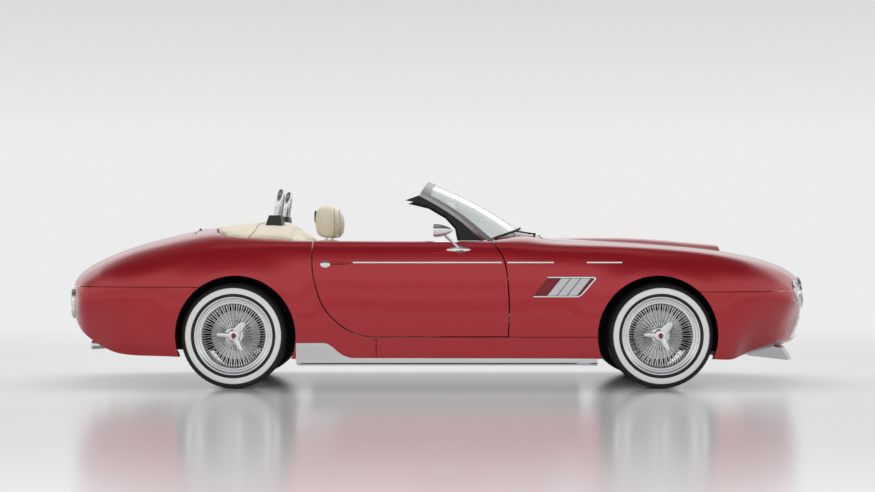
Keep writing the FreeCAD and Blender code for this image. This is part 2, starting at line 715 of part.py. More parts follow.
DOOR_SWING_ROOM = 7.2
swing_levels = (318.0, 380.0, 450.0, 520.0, 590.0, 660.0, 730.0, 800.0)
swing_radii = [math.hypot(door_front_x(z) - hinge_x, skin_y(form, door_front_x(z), z) - hinge_y)
               + DOOR_SWING_ROOM for z in swing_levels]
swing_room = []
for k in range(len(swing_levels) - 1):
    low_z, high_z = swing_levels[k], swing_levels[k + 1]
    swing_room += pair(Part.makeCone(swing_radii[k], swing_radii[k + 1], high_z - low_z,
                                     V(hinge_x, hinge_y, low_z), V(0, 0, 1)))
for cone in swing_room:
    front_wings = front_wings.cut(cone)

# Structure under the skin
hinge_post_y = hinge_y - 74 - SEAT_GAP


def frame_ring(x0, x1, z0, z1, hollow):
    """A cross frame that follows the skin, open in the middle."""
    slab = seat_form.common(box(x0, x1, -1000, 1000, z0, z1))
    inner = body_form(SKIN + SEAT_GAP + hollow)
    return slab.cut(inner)


floor = box(REAR_BULKHEAD_X, FIREWALL_X + 20, -FLOOR_HALF_WIDTH, FLOOR_HALF_WIDTH, FLOOR_BOTTOM_Z,
            FLOOR_BOTTOM_Z + FLOOR_THICKNESS)
sill_beams = pair(box(REAR_BULKHEAD_X, 940, SILL_INNER_Y, SILL_OUTER_Y, FLOOR_BOTTOM_Z,
                      SILL_TOP_Z))
tunnel = prism_x([(-TUNNEL_HALF_WIDTH, FLOOR_BOTTOM_Z + 6), (TUNNEL_HALF_WIDTH, FLOOR_BOTTOM_Z + 6),
                  (TUNNEL_HALF_WIDTH - 10, TUNNEL_TOP_Z - 20),
                  (TUNNEL_HALF_WIDTH - 40, TUNNEL_TOP_Z),
                  (40 - TUNNEL_HALF_WIDTH, TUNNEL_TOP_Z),
                  (10 - TUNNEL_HALF_WIDTH, TUNNEL_TOP_Z - 20)], REAR_BULKHEAD_X, FIREWALL_X)
tunnel_void = prism_x([(-TUNNEL_HALF_WIDTH + 20, 100), (TUNNEL_HALF_WIDTH - 20, 100),
                       (TUNNEL_HALF_WIDTH - 34, TUNNEL_TOP_Z - 40),
                       (34 - TUNNEL_HALF_WIDTH, TUNNEL_TOP_Z - 40)],
                      REAR_BULKHEAD_X - 50, FIREWALL_X + 50)
firewall = seat_form.common(box(FIREWALL_X, FIREWALL_X + FRAME_THICKNESS, -800, 800,
                                FLOOR_BOTTOM_Z, 925))
bulkhead = seat_form.common(box(REAR_BULKHEAD_X - FRAME_THICKNESS, REAR_BULKHEAD_X, -800, 800,
                                FLOOR_BOTTOM_Z, 840))
posts_link = pair(box(500, FIREWALL_X + 10, hinge_post_y - 60, hinge_post_y - 36, 200, 780)
                  .common(seat_form))
posts_join = pair(box(472, 510, hinge_post_y - 60, hinge_post_y, 200, 780).common(seat_form))
front_rails = pair(box(FIREWALL_X, 2080, RAIL_INNER_Y, RAIL_OUTER_Y, RAIL_BOTTOM_Z, RAIL_TOP_Z))
radiator_frame = frame_ring(2040, 2060, RAIL_BOTTOM_Z, 900, 60)
rear_rails = pair(box(-2250, REAR_BULKHEAD_X, 440, 500, 368, 452))
boot_floor = box(-2180, REAR_BULKHEAD_X, -500, 500, BOOT_FLOOR_Z, BOOT_FLOOR_Z + 12)
tail_frame = frame_ring(-2250, -2230, 368, 900, 60)
boot_front_frame = seat_form.common(box(-1514, -1500, -1000, 1000, BOOT_FLOOR_Z, 1100))
hoop_beam = box(-1090, -990, -520, 520, HOOP_FOOT_Z - 60, HOOP_FOOT_Z)
hoop_posts = pair(box(-1060, -1020, 470, 510, 452, HOOP_FOOT_Z - 30))
tub = fuse([floor, tunnel, firewall, bulkhead, radiator_frame, boot_floor, tail_frame,
            boot_front_frame, hoop_beam] + sill_beams + posts_join + posts_link + front_rails
           + rear_rails + hoop_posts)
tub = tub.cut(tunnel_void)
wheel_room = []
for x, y, radius in ((FRONT_AXLE_X, FRONT_LINER_Y - 8, FRONT_LINER_RADIUS + 8),
                     (REAR_AXLE_X, REAR_LINER_Y - 8, REAR_LINER_RADIUS + 8)):
    wheel_room += pair(cylinder_y(x, WHEEL_CENTRE_Z, radius, y, 1000))
tub = tub.cut(Part.makeCompound(wheel_room))
tub = solids(tub, 1e5)

# Arch liners
liners = []
for x, y0, radius in ((FRONT_AXLE_X, FRONT_LINER_Y, FRONT_LINER_RADIUS),
                      (REAR_AXLE_X, REAR_LINER_Y, REAR_LINER_RADIUS)):
    drum = cylinder_y(x, WHEEL_CENTRE_Z, radius + LINER_THICKNESS, y0 - LINER_THICKNESS, 1000)
    drum = drum.cut(cylinder_y(x, WHEEL_CENTRE_Z, radius, y0, 1001))
    drum = drum.common(seat_form).common(box(x - 600, x + 600, 0, 1000, 212, 1000))
    drum = drum.cut(box(x - 150, x + 150, 0, y0 + 20, 0, 480))
    liners += pair(max(drum.Solids, key=lambda s: s.Volume))

# Wheels
half_tread = TYRE_TREAD_WIDTH / 2
half_tyre = TYRE_WIDTH / 2
half_bead = BEAD_WIDTH / 2
TYRE_PROFILE = [(BEAD_RADIUS, -half_bead), (300, -half_tyre), (324, -half_tyre + 14.5),
                (TYRE_RADIUS, -half_tread), (TYRE_RADIUS, half_tread), (324, half_tyre - 14.5),
                (300, half_tyre), (BEAD_RADIUS, half_bead)]
half_lip = RIM_LIP_WIDTH / 2
RIM_PROFILE = [(RIM_LIP_RADIUS, half_lip), (RIM_LIP_RADIUS, half_lip - 7),
               (BEAD_RADIUS - 0.5, half_bead + 0.6), (BEAD_RADIUS - 0.5, -half_bead - 0.6),
               (RIM_LIP_RADIUS, 7 - half_lip), (RIM_LIP_RADIUS, -half_lip),
               (RIM_LIP_RADIUS - 8, -half_lip), (226, 14 - half_lip), (206, -60), (206, -30),
               (SPOKE_CIRCLE_RADIUS, -10), (SPOKE_CIRCLE_RADIUS, 66),
               (RIM_RING_RADIUS - 12, 76), (RIM_RING_RADIUS, 88), (RIM_LIP_RADIUS - 14, 98),
               (RIM_LIP_RADIUS - 8, half_lip)]
HUB_PROFILE = [(0, HUB_OUTER_Y), (HUB_RADIUS, HUB_OUTER_Y), (HUB_RADIUS + 8, HUB_OUTER_Y - 8),
               (HUB_RADIUS + 8, HUB_OUTER_Y - 24), (HUB_RADIUS, HUB_OUTER_Y - 30), (HUB_RADIUS, 0),
               (HUB_RADIUS + 18, -10), (HUB_RADIUS + 18, -30), (HUB_RADIUS, -40),
               (HUB_RADIUS, HUB_INNER_Y + DISC_THICKNESS), (DISC_RADIUS, HUB_INNER_Y + DISC_THICKNESS),
               (DISC_RADIUS, HUB_INNER_Y), (SPINDLE_RADIUS + SPINDLE_FIT, HUB_INNER_Y),
               (SPINDLE_RADIUS + SPINDLE_FIT, HUB_OUTER_Y - 12), (0, HUB_OUTER_Y - 12)]
CAP_PROFILE = [(0, 96), (13, 95), (18, 88), (HUB_CAP_RADIUS, 82), (HUB_CAP_RADIUS, HUB_OUTER_Y - 2),
               (0, HUB_OUTER_Y - 2)]


def spinner_ear(angle):
    """One ear of the three-eared wheel nut, narrowing to a rounded tip."""
    a = math.radians(angle)
    u = V(math.cos(a), 0, math.sin(a))
    w = V(-math.sin(a), 0, math.cos(a))
    rings = []
    for along, half_width, y0, y1 in ((8, 21, 70, 92), (45, 19, 74, 92), (80, 15, 80, 95),
                                      (SPINNER_EAR_LENGTH, 8, 86, 98)):
        centre = u * along
        rings.append([tuple(centre + w * s * half_width + V(0, y, 0))
                      for s, y in ((-1, y0), (1, y0), (1, y1), (-1, y1))])
    return loft(rings, True)


def wheel_at_origin():
    pieces = [revolve_y(RIM_PROFILE, 0, 0), revolve_y(HUB_PROFILE, 0, 0),
              revolve_y(CAP_PROFILE, 0, 0)]
    pieces += [spinner_ear(a) for a in SPINNER_EAR_ANGLES]
    rows = ((HUB_RADIUS + 3, 44.0, 52.0, 1), (HUB_RADIUS + 3, 42.0, 22.0, -1))
    for hub_r, hub_y, rim_y, lean in rows:
        for k in range(SPOKES_PER_ROW):
            a = 2 * math.pi * (k + (0.25 if lean > 0 else 0.75)) / SPOKES_PER_ROW
            b = a + lean * math.radians(24)
            pieces.append(bar((hub_r * math.cos(a), hub_y, hub_r * math.sin(a)),
                              ((SPOKE_CIRCLE_RADIUS + 6) * math.cos(b), rim_y,
                               (SPOKE_CIRCLE_RADIUS + 6) * math.sin(b)), SPOKE_SIZE))
    whole = pieces[0].multiFuse(pieces[1:])
    return whole


wheel = wheel_at_origin()


def faceted_ring(profile, count):
    """A closed profile of (radius, y) turned about Y in flat facets, with a corner straight down."""
    def corner(k, j):
        a = 2 * math.pi * (k % count) / count - math.pi / 2
        r, y = profile[j % len(profile)]
        return V(r * math.cos(a), y, r * math.sin(a))
    faces = []
    for k in range(count):
        for j in range(len(profile)):
            points = [corner(k, j), corner(k, j + 1), corner(k + 1, j + 1), corner(k + 1, j)]
            faces.append(Part.Face(Part.makePolygon(points + [points[0]])))
    solid = Part.makeSolid(Part.makeShell(faces))
    if solid.Volume < 0:
        solid.reverse()
    return solid


tyre = faceted_ring(TYRE_PROFILE, TYRE_FACETS)
CORNERS = (("front_left", FRONT_AXLE_X, 1), ("front_right", FRONT_AXLE_X, -1),
           ("rear_left", REAR_AXLE_X, 1), ("rear_right", REAR_AXLE_X, -1))
for corner, x, side in CORNERS:
    for piece_name, piece in (("wheel", wheel), ("tyre", tyre)):
        placed = piece.copy()
        placed.translate(V(x, TRACK_HALF, WHEEL_CENTRE_Z))
        if side < 0:
            placed = mirror(placed)
        export(piece_name + "_" + corner, placed)

# Knuckles and the front axle parts
z_mid = WHEEL_CENTRE_Z
spindle_tip = TRACK_HALF + HUB_OUTER_Y - 13
knuckle = fuse([box(FRONT_AXLE_X - 20, FRONT_AXLE_X + 20, KINGPIN_Y - 16, KINGPIN_Y + 16,
                    z_mid - UPRIGHT_HALF_HEIGHT, z_mid + UPRIGHT_HALF_HEIGHT),
                cylinder_z(FRONT_AXLE_X, KINGPIN_Y, KINGPIN_RADIUS, z_mid - KINGPIN_HALF_HEIGHT,
                           z_mid + KINGPIN_HALF_HEIGHT),
                cylinder_y(FRONT_AXLE_X, z_mid, SPINDLE_RADIUS, KINGPIN_Y, spindle_tip)])
export("knuckle_left", knuckle)
export("knuckle_right", mirror(knuckle))

arms = []
for side_z in (-ARM_HEIGHT, ARM_HEIGHT):
    z0 = z_mid + side_z - ARM_THICKNESS / 2
    plate = prism_z([(FRONT_AXLE_X - 120, ARM_ROOT_Y - 10), (FRONT_AXLE_X + 120, ARM_ROOT_Y - 10),
                     (FRONT_AXLE_X + 110, ARM_ROOT_Y + 10), (FRONT_AXLE_X + 22, KINGPIN_Y),
                     (FRONT_AXLE_X - 22, KINGPIN_Y), (FRONT_AXLE_X - 110, ARM_ROOT_Y + 10)],
                    z0, z0 + ARM_THICKNESS)
    window = prism_z([(FRONT_AXLE_X - 78, ARM_ROOT_Y + 18), (FRONT_AXLE_X + 78, ARM_ROOT_Y + 18),
                      (FRONT_AXLE_X + 14, KINGPIN_Y - 60), (FRONT_AXLE_X - 14, KINGPIN_Y - 60)],
                     z0 - 1, z0 + ARM_THICKNESS + 1)
    eye = cylinder_z(FRONT_AXLE_X, KINGPIN_Y, 26, z0, z0 + ARM_THICKNESS)
    arm = fuse([plate.cut(window), eye])
    arms.append(arm.cut(cylinder_z(FRONT_AXLE_X, KINGPIN_Y, KINGPIN_RADIUS + KINGPIN_FIT,
                                   z0 - 1, z0 + ARM_THICKNESS + 1)))
tower = box(FRONT_AXLE_X - 120, FRONT_AXLE_X + 120, RAIL_OUTER_Y + SEAT_GAP, FRONT_LINER_Y - 12,
            190, z_mid + ARM_HEIGHT + 20)
cross_beam = box(FRONT_AXLE_X - 70, FRONT_AXLE_X + 70, -FRONT_LINER_Y + 12, FRONT_LINER_Y - 12,
                 186, RAIL_BOTTOM_Z - SEAT_GAP)
front_axle = fuse([cross_beam] + pair(tower) + [s for arm in arms for s in pair(arm)])
export("front_axle", front_axle)

# Rear axle: final drive, half shafts, carriers and spindles in one
carrier = box(REAR_AXLE_X - 55, REAR_AXLE_X + 55, 596, 636, z_mid - 90, z_mid + 90)
shaft = cylinder_y(REAR_AXLE_X, z_mid, 18, 60, 600)
rear_spindle = cylinder_y(REAR_AXLE_X, z_mid, SPINDLE_RADIUS, 600, spindle_tip)
wishbone = prism_z([(REAR_AXLE_X - 150, 40), (REAR_AXLE_X + 150, 40), (REAR_AXLE_X + 50, 600),
                    (REAR_AXLE_X - 50, 600)], z_mid - 88, z_mid - 66)
wishbone = wishbone.cut(prism_z([(REAR_AXLE_X - 100, 180), (REAR_AXLE_X + 100, 180),
                                 (REAR_AXLE_X + 30, 520), (REAR_AXLE_X - 30, 520)], 100, 400))
hanger = box(REAR_AXLE_X - 60, REAR_AXLE_X - 20, 450, 490, z_mid - 80, 368 - SEAT_GAP)
hanger = hanger.cut(cylinder_y(REAR_AXLE_X, z_mid, 24, 440, 500))
cradle = box(REAR_AXLE_X - 60, REAR_AXLE_X - 20, -470, 470, z_mid - 88, z_mid - 50)
final_drive = fuse([cylinder_y(REAR_AXLE_X, z_mid, 105, -90, 90),
                    box(REAR_AXLE_X, REAR_AXLE_X + 170, -60, 60, z_mid - 60, z_mid + 60)])
rear_axle = fuse([final_drive, cradle] + pair(carrier) + pair(shaft) + pair(rear_spindle)
                 + pair(wishbone) + pair(hanger))
export("rear_axle", rear_axle)

engine = box(740, 1290, -RAIL_INNER_Y + SEAT_GAP, RAIL_INNER_Y - SEAT_GAP, 270, 760)
engine = engine.common(box(700, 1400, -260, 260, 200, 800).fuse(
    box(900, 1000, -600, 600, 280, 330)))
gearbox = box(150, 750, -92, 92, 205, 362)
propeller_shaft = rod((160, 0, 300), (REAR_AXLE_X + 172, 0, 300), 32)
engine = fuse([engine, gearbox, propeller_shaft])
export("engine", engine)

export("tub", tub)
export("arch_liners", liners)
export("front_wings", solids(front_wings, 1e5))
export("rear_quarters", solids(rear_quarters, 1e5))
export("nose_cover", solids(nose_cover, 1e5))
export("tail_cover", solids(tail_cover, 1e5))
export("sill_panels", solids(sills, 1e5))
export("bonnet", max(bonnet.Solids, key=lambda s: s.Volume))
export("boot_lid", max(boot_lid.Solids, key=lambda s: s.Volume))
door = max(door.Solids, key=lambda s: s.Volume)
export("door_left", door)
export("door_right", mirror(door))
export("door_hinges", [s for strap in straps for s in pair(strap)])

# Windscreen: a curved patch between a base line on the cowl and a header line
SCREEN_BOW = 26.0
PILLAR_SHARE = 0.93
SILL_RAIL = 0.05
HEADER_RAIL = 0.925


def screen_point(u, v):
    """A point of the screen's middle surface: u runs across, v from the base to the header."""
    base_x = SCREEN_BASE_X - (SCREEN_BASE_X - SCREEN_FOOT_X) * abs(u) ** 2.2
    base_z = SCREEN_BASE_Z - (SCREEN_BASE_Z - SCREEN_FOOT_Z) * abs(u) ** 2.0
    top_x = SCREEN_TOP_X - (SCREEN_TOP_X - HEADER_END_X) * abs(u) ** 2.2
    top_z = SCREEN_TOP_Z - (SCREEN_TOP_Z - HEADER_END_Z) * abs(u) ** 2.4
    base = V(base_x, u * SCREEN_FOOT_Y, base_z)
    head = V(top_x, u * HEADER_END_Y, top_z)
    bow = math.sin(math.pi * max(0.0, min(1.0, v))) * SCREEN_BOW
    return base * (1 - v) + head * v + V(0.46 * bow, 0, 0.89 * bow)


def screen_normal(u, v):
    e = 0.01
    du = screen_point(u + e, v) - screen_point(u - e, v)
    dv = screen_point(u, v + e) - screen_point(u, v - e)
    n = du.cross(dv)
    n.normalize()
    return n if n.x > 0 else n * -1


def screen_patch(u_share, v0, v1, out, back):
    """A solid over part of the screen, out in front of its middle surface and back behind it."""
    levels = [v0 + (v1 - v0) * k / 6 for k in range(7)]
    front = []
    rear = []
    for k in range(25):
        u = (k / 12 - 1) * u_share
        front.append([tuple(screen_point(u, v) + screen_normal(u, v) * out) for v in levels])
        rear.append([tuple(screen_point(u, v) - screen_normal(u, v) * back) for v in levels])
    return closed_block(front, rear)


half_frame = SCREEN_FRAME_DEPTH / 2
screen_whole = screen_patch(1.0, -0.10, 1.0, half_frame, half_frame)
screen_window = screen_patch(PILLAR_SHARE, SILL_RAIL, HEADER_RAIL, 60, 60)
raised = body_form(-SEAT_GAP)
screen_frame = largest(off_skin(screen_whole.cut(screen_window), raised))
glass = screen_patch(PILLAR_SHARE - 0.0006, SILL_RAIL + 0.0006, HEADER_RAIL - 0.0006,
                     GLASS_THICKNESS / 2, GLASS_THICKNESS / 2)
export("windscreen_frame", screen_frame)
export("windscreen_glass", glass)

# Rubber seals behind the pillars and the header
seal_rings = []
for v, reach, deep in ((1.0, 92, 30), (0.93, 74, 34), (0.8, 44, 30), (0.55, 40, 26),
                       (0.35, 60, 24), (0.16, 120, 24), (0.075, 190, 24)):
    p = screen_point(0.975, v) - screen_normal(0.975, v) * (half_frame + SEAT_GAP)
    q = V(p.x - reach, p.y - 4, p.z - reach * 0.36)
    r = V(q.x + 8, q.y, q.z - deep * 0.5)
    t = V(p.x + deep * 0.3, p.y, p.z - deep)
    seal_rings.append([tuple(k) for k in (p, q, r, t)])
seal_strips = []
for k in range(len(seal_rings) - 1):
    low, high = seal_rings[k + 1], seal_rings[k]
    sections = []
    for ring in (low, high):
        p, q, r, t = [V(*c) for c in ring]
        w = V(0, 9, 0)
        sections.append([tuple(c) for c in (p + w, q + w, q - w, p - w)])
    lower_sections = []
    for ring in (low, high):
        p, q, r, t = [V(*c) for c in ring]
        w = V(0, 9, 0)
        drop = V(6, 0, -14)
        lower_sections.append([tuple(c) for c in (p + w + drop, q + w + drop, q - w + drop,
                                                  p - w + drop)])
    a = [sections[0][0], sections[0][1], lower_sections[0][1], lower_sections[0][0]]
    b = [sections[1][0], sections[1][1], lower_sections[1][1], lower_sections[1][0]]
    a_in = [tuple(V(*c) - V(0, 18, 0)) for c in a]
    b_in = [tuple(V(*c) - V(0, 18, 0)) for c in b]
    block = Part.makeLoft([polygon([a[0], a[1], a_in[1], a_in[0]]),
                           polygon([b[0], b[1], b_in[1], b_in[0]])], True, True)
    seal_strips.append(block)
seals = fuse(seal_strips)
screen_room = screen_patch(1.002, -0.10, 1.0, half_frame + 0.6, half_frame + 0.6)
seals = seals.cut(screen_patch(1.05, -0.2, 1.1, half_frame + SEAT_GAP, half_frame + SEAT_GAP))
seals = seals.cut(screen_room)
seal = largest(off_skin(off_skin(seals, raised), door_form.common(door_prism(8, DOOR_INNER_Y - 8,
                                                                            1100))))
header_lip = screen_patch(0.96, 0.95, 0.985, -half_frame - SEAT_GAP, half_frame + 20)
header_lip = header_lip.cut(screen_room)
export("windscreen_seals", pair(seal) + [largest(header_lip.cut(Part.makeCompound(pair(seal))))])

# Wipers
wipers = []
for y_pivot, y_in, y_out in ((-330.0, -640.0, -110.0), (300.0, -10.0, 520.0)):
    pivot_x = SCREEN_BASE_X + 70
    pivot_z = skin_z(form, pivot_x, y_pivot)
    post = cylinder_z(pivot_x, y_pivot, 9, pivot_z - 12, pivot_z + 18)
    blade_points = []
    for k in range(5):
        y = y_in + (y_out - y_in) * k / 4
        u = y / SCREEN_FOOT_Y
        p = screen_point(u, 0.035) + screen_normal(u, 0.035) * (half_frame + 9)
        blade_points.append((p.x, p.y, p.z))
    blade = fuse([bar(a, b, 8) for a, b in zip(blade_points, blade_points[1:])])
    middle = blade_points[2]
    arm = rod((pivot_x, y_pivot, pivot_z + 12), middle, 4.5)
    wipers.append(largest(off_skin(fuse([post, arm, blade]), raised).cut(screen_room)))
export("wipers", wipers)

# Dashboard and console
DASH = [(FIREWALL_X - SEAT_GAP, 690), (FIREWALL_X - SEAT_GAP, 960), (470, 948), (330, 905),
        (262, 884), (232, 856), (228, 800), (262, 742), (360, 690)]
dash = prism_y(DASH, -722, 722).common(seat_form)
COLUMN_Y = 362.0
WHEEL_HUB_X = -20.0
WHEEL_HUB_Z = 732.0
COLUMN_DROP = 22.0
STEERING_RADIUS = 182.0
STEERING_RIM = 14.0
COLUMN_RADIUS = 14.0
SHROUD_RADIUS = 34.0
column_dir = V(math.cos(math.radians(COLUMN_DROP)), 0, -math.sin(math.radians(COLUMN_DROP)))
hub = V(WHEEL_HUB_X, COLUMN_Y, WHEEL_HUB_Z)
shroud = Part.makeCylinder(SHROUD_RADIUS, 330, hub + column_dir * 60, column_dir)
shaft_room = Part.makeCylinder(COLUMN_RADIUS + 0.05, 800, hub + column_dir * -20, column_dir)
bracket = box(290, 350, COLUMN_Y - 32, COLUMN_Y + 32, 590, 710)
dash = fuse([dash, bracket, shroud]).cut(shaft_room)
dash = max(dash.Solids, key=lambda s: s.Volume)
export("dashboard", dash)

rim_ring = Part.makeTorus(STEERING_RADIUS, STEERING_RIM, hub, column_dir)
wheel_boss = Part.makeCylinder(44, 40, hub + column_dir * -4, column_dir)
column = Part.makeCylinder(COLUMN_RADIUS, 460, hub, column_dir)
across = V(0, 1, 0)
upward = column_dir.cross(across)
steer_spokes = []
for angle in (90, 205, 335):
    a = math.radians(angle)
    d = across * math.cos(a) + upward * (math.sin(a) * (1 if upward.z > 0 else -1))
    steer_spokes.append(bar(tuple(hub + column_dir * 10 + d * 30),
                            tuple(hub + d * (STEERING_RADIUS - 2)), 14))
steering_wheel = fuse([rim_ring, wheel_boss, column] + steer_spokes)
export("steering_wheel", steering_wheel)

console = box(-620, 220, -118, 118, TUNNEL_TOP_Z + SEAT_GAP, 500)
lever = fuse([rod((-120, 0, 490), (-140, 0, 590), 8), Part.makeSphere(24, V(-143, 0, 602))])
export("console", fuse([console, lever]))

# Seats
half_seat = SEAT_WIDTH / 2
floor_top = FLOOR_BOTTOM_Z + FLOOR_THICKNESS
seat_base = box(-560, -80, SEAT_Y - 200, SEAT_Y + 200, floor_top + SEAT_GAP, 270)
CUSHION = [(-474, 270.3), (10, 270.3), (34, 300), (36, 372), (10, 404), (-60, 414), (-300, 400),
           (-420, 392), (-462, 372)]
BACK = [(-560, 270.3), (-478, 270.3), (-466, 400), (-430, 440), (-480, 560), (-610, 850),
        (-652, 926), (-700, 950), (-762, 950), (-800, 926), (-808, 880), (-700, 640),
        (-610, 420)]
cushion = prism_y(CUSHION, SEAT_Y - half_seat, SEAT_Y + half_seat)
back = prism_y(BACK, SEAT_Y - half_seat, SEAT_Y + half_seat)
HEADREST = [(-640, 985), (-632, 1040), (-642, 1110), (-672, 1150), (-724, 1163), (-772, 1150),
            (-792, 1108), (-796, 1030), (-780, 975), (-720, 962), (-664, 966)]
headrest = prism_y(HEADREST, SEAT_Y - 128, SEAT_Y + 128)
headrest_posts = [cylinder_z(-722, SEAT_Y + dy, 7, 950 + SEAT_GAP, 975) for dy in (-60, 60)]
export("seat_bases", pair(seat_base))
export("seat_cushions", pair(cushion))
export("seat_backs", pair(back))
export("head_restraints", pair(fuse([headrest] + headrest_posts)))

# Padded rear deck with the two roll hoops through it
DECK_BOTTOM_Z = 862.0
DECK_LINE = [(-1500, 1012), (-1440, 1022), (-1330, 1040), (-1211, 1051), (-1152, 1056),
             (-1007, 1055), (-959, 1045), (-915, 1014), (-863, 975), (-822, 934)]
DECK_EDGE = [(-1500, 950), (-1440, 946), (-1330, 938), (-1211, 934), (-1000, 930), (-822, 922)]
deck_sections = []
for x, crest in DECK_LINE:
    edge = line_value(DECK_EDGE, x)
    ring = [(x, -760, DECK_BOTTOM_Z)]
    for a, c in ((-1, 0), (-.93, .34), (-.82, .62), (-.62, .86), (-.35, .97), (0, 1), (.35, .97),
                 (.62, .86), (.82, .62), (.93, .34), (1, 0)):
        ring.append((x, a * 760, edge + c * (crest - edge)))
    ring.append((x, 760, DECK_BOTTOM_Z))
    deck_sections.append(ring)
deck = loft(deck_sections)
deck_plan = [(x * 0.9993 + 0.2, y * 0.9985) for x, y in cabin_outline]
deck = deck.common(prism_z(deck_plan, 800, 1200))
HOOP_TOP_X = -1015.0
HOOP_FOOT_X = -1096.0
HOOP_RISE = HOOP_TOP_Z - HOOP_TUBE_RADIUS
lean = V(HOOP_TOP_X - HOOP_FOOT_X, 0, HOOP_RISE - HOOP_FOOT_Z)
lean.normalize()
hoop_bend = HOOP_HALF_WIDTH - HOOP_TUBE_RADIUS


def roll_hoop(y_mid):
    """An upside-down U of tube in a plane that leans forward."""
    foot_a = V(HOOP_FOOT_X, y_mid - hoop_bend, HOOP_FOOT_Z + SEAT_GAP) - lean * HOOP_TUBE_RADIUS
    length = (HOOP_RISE - HOOP_FOOT_Z) / lean.z - hoop_bend + HOOP_TUBE_RADIUS
    knee_a = foot_a + lean * length
    knee_b = knee_a + V(0, 2 * hoop_bend, 0)
    crown = knee_a + V(0, hoop_bend, 0) + lean * hoop_bend
    foot_b = foot_a + V(0, 2 * hoop_bend, 0)
    path = Part.Wire([Part.makeLine(foot_a, knee_a), Part.Arc(knee_a, crown, knee_b).toShape(),
                      Part.makeLine(knee_b, foot_b)])
    ring = Part.Wire([Part.makeCircle(HOOP_TUBE_RADIUS, foot_a, lean)])
    return path.makePipeShell([ring], True, True)


below_feet = box(-1300, -900, -600, 600, HOOP_FOOT_Z - 100, HOOP_FOOT_Z + SEAT_GAP)
hoop = roll_hoop(HOOP_Y).cut(below_feet)
hoop_base = loft([[(-1118, HOOP_Y - 150, 1000), (-1000, HOOP_Y - 150, 1000),
                   (-1000, HOOP_Y + 150, 1000), (-1118, HOOP_Y + 150, 1000)],
                  [(-1086, HOOP_Y - 132, 1094), (-1012, HOOP_Y - 132, 1094),
                   (-1012, HOOP_Y + 132, 1094), (-1086, HOOP_Y + 132, 1094)]], True)
legs = []
for dy in (-hoop_bend, hoop_bend):
    start = V(HOOP_FOOT_X, HOOP_Y + dy, HOOP_FOOT_Z - 200 * lean.z) - V(200 * lean.x, 0, 0)
    legs.append(Part.makeCylinder(HOOP_TUBE_RADIUS + SEAT_GAP, 660, start, lean))
deck = deck.cut(Part.makeCompound(pair(hoop_base) + [m for leg in legs for m in pair(leg)]))
deck = max(deck.Solids, key=lambda s: s.Volume)
hoop_base = hoop_base.cut(Part.makeCompound(legs))
export("rear_deck", deck)
export("roll_hoops", pair(hoop))
export("hoop_bases", pair(hoop_base))

# Nose: grille, lamps, lower trim
proud_10 = body_form(-10.0)
proud_6 = body_form(-6.0)
proud_3 = body_form(-3.0)
raised_more = body_form(-0.6)
deep_70 = body_form(70.0)
deep_45 = body_form(45.0)
deep_57 = body_form(57.0)
grille_ring = oval_ring(2100, 2600, 0, GRILLE_Z, GRILLE_HALF_Y - SEAT_GAP,
                        GRILLE_HALF_Z - SEAT_GAP, 16)
grille_ring = layer(grille_ring, proud_10, deep_70)
GRILLE_BARS = 15
GRILLE_BAR_WIDTH = 7.0
grille_bars = []
for k in range(GRILLE_BARS):
    y = (k - (GRILLE_BARS - 1) / 2) * 2 * (GRILLE_HALF_Y - 20) / GRILLE_BARS
    height = (GRILLE_HALF_Z - 8) * math.sqrt(1 - (y / (GRILLE_HALF_Y - 8)) ** 2)
    x = skin_x_front(form, abs(y) + GRILLE_BAR_WIDTH, GRILLE_Z + 60) - 34
    grille_bars.append(box(x - 12, x, y - GRILLE_BAR_WIDTH / 2, y + GRILLE_BAR_WIDTH / 2,
                           GRILLE_Z - height, GRILLE_Z + height))
grille = fuse([s for s in grille_ring.Solids if s.BoundBox.XMin > 1500] + grille_bars)
export("grille", solids(grille, 1000))

mouth_outer = box(2100, 2600, -INTAKE_HALF_Y + SEAT_GAP, INTAKE_HALF_Y - SEAT_GAP,
                  INTAKE_Z0 + SEAT_GAP, INTAKE_Z1 - SEAT_GAP)
mouth_inner = box(2000, 2700, 14 - INTAKE_HALF_Y, INTAKE_HALF_Y - 14, INTAKE_Z0 + 12,
                  INTAKE_Z1 - 12)
mouth = layer(mouth_outer, proud_10, deep_57).cut(mouth_inner)
mouth_bar = layer(box(2100, 2600, 8 - INTAKE_HALF_Y, INTAKE_HALF_Y - 8,
                      (INTAKE_Z0 + INTAKE_Z1) / 2 - 5, (INTAKE_Z0 + INTAKE_Z1) / 2 + 5),
                  deep_45, deep_57)
export("lower_grille", solids(fuse(mouth.Solids + mouth_bar.Solids), 1000))

TAIL_LAMP_Y = 470.0
TAIL_LAMP_Z = 525.0
TAIL_LAMP_HALF_Y = 52.0
TAIL_LAMP_HALF_Z = 94.0
TAIL_LAMP_WALL = 11.0
LAMP_WALL = 9.0
lamp_bezel = layer(lamp_plug(LAMP_RADIUS).cut(lamp_plug(LAMP_RADIUS - LAMP_WALL)), proud_6, deep_45)
lamp_glass = layer(lamp_plug(LAMP_RADIUS - LAMP_WALL - SEAT_GAP), proud_3, deep_45)
tail_bezel = layer(oval_ring(-2600, -2250, TAIL_LAMP_Y, TAIL_LAMP_Z, TAIL_LAMP_HALF_Y,
                             TAIL_LAMP_HALF_Z, TAIL_LAMP_WALL), body_form(-14.0), raised_more)
tail_lens = layer(oval_block(-2600, -2250, TAIL_LAMP_Y, TAIL_LAMP_Z,
                             TAIL_LAMP_HALF_Y - TAIL_LAMP_WALL - SEAT_GAP,
                             TAIL_LAMP_HALF_Z - TAIL_LAMP_WALL - SEAT_GAP), proud_10, raised_more)
bezels = [largest(lamp_bezel), largest(tail_bezel)]
lenses = [largest(lamp_glass)]
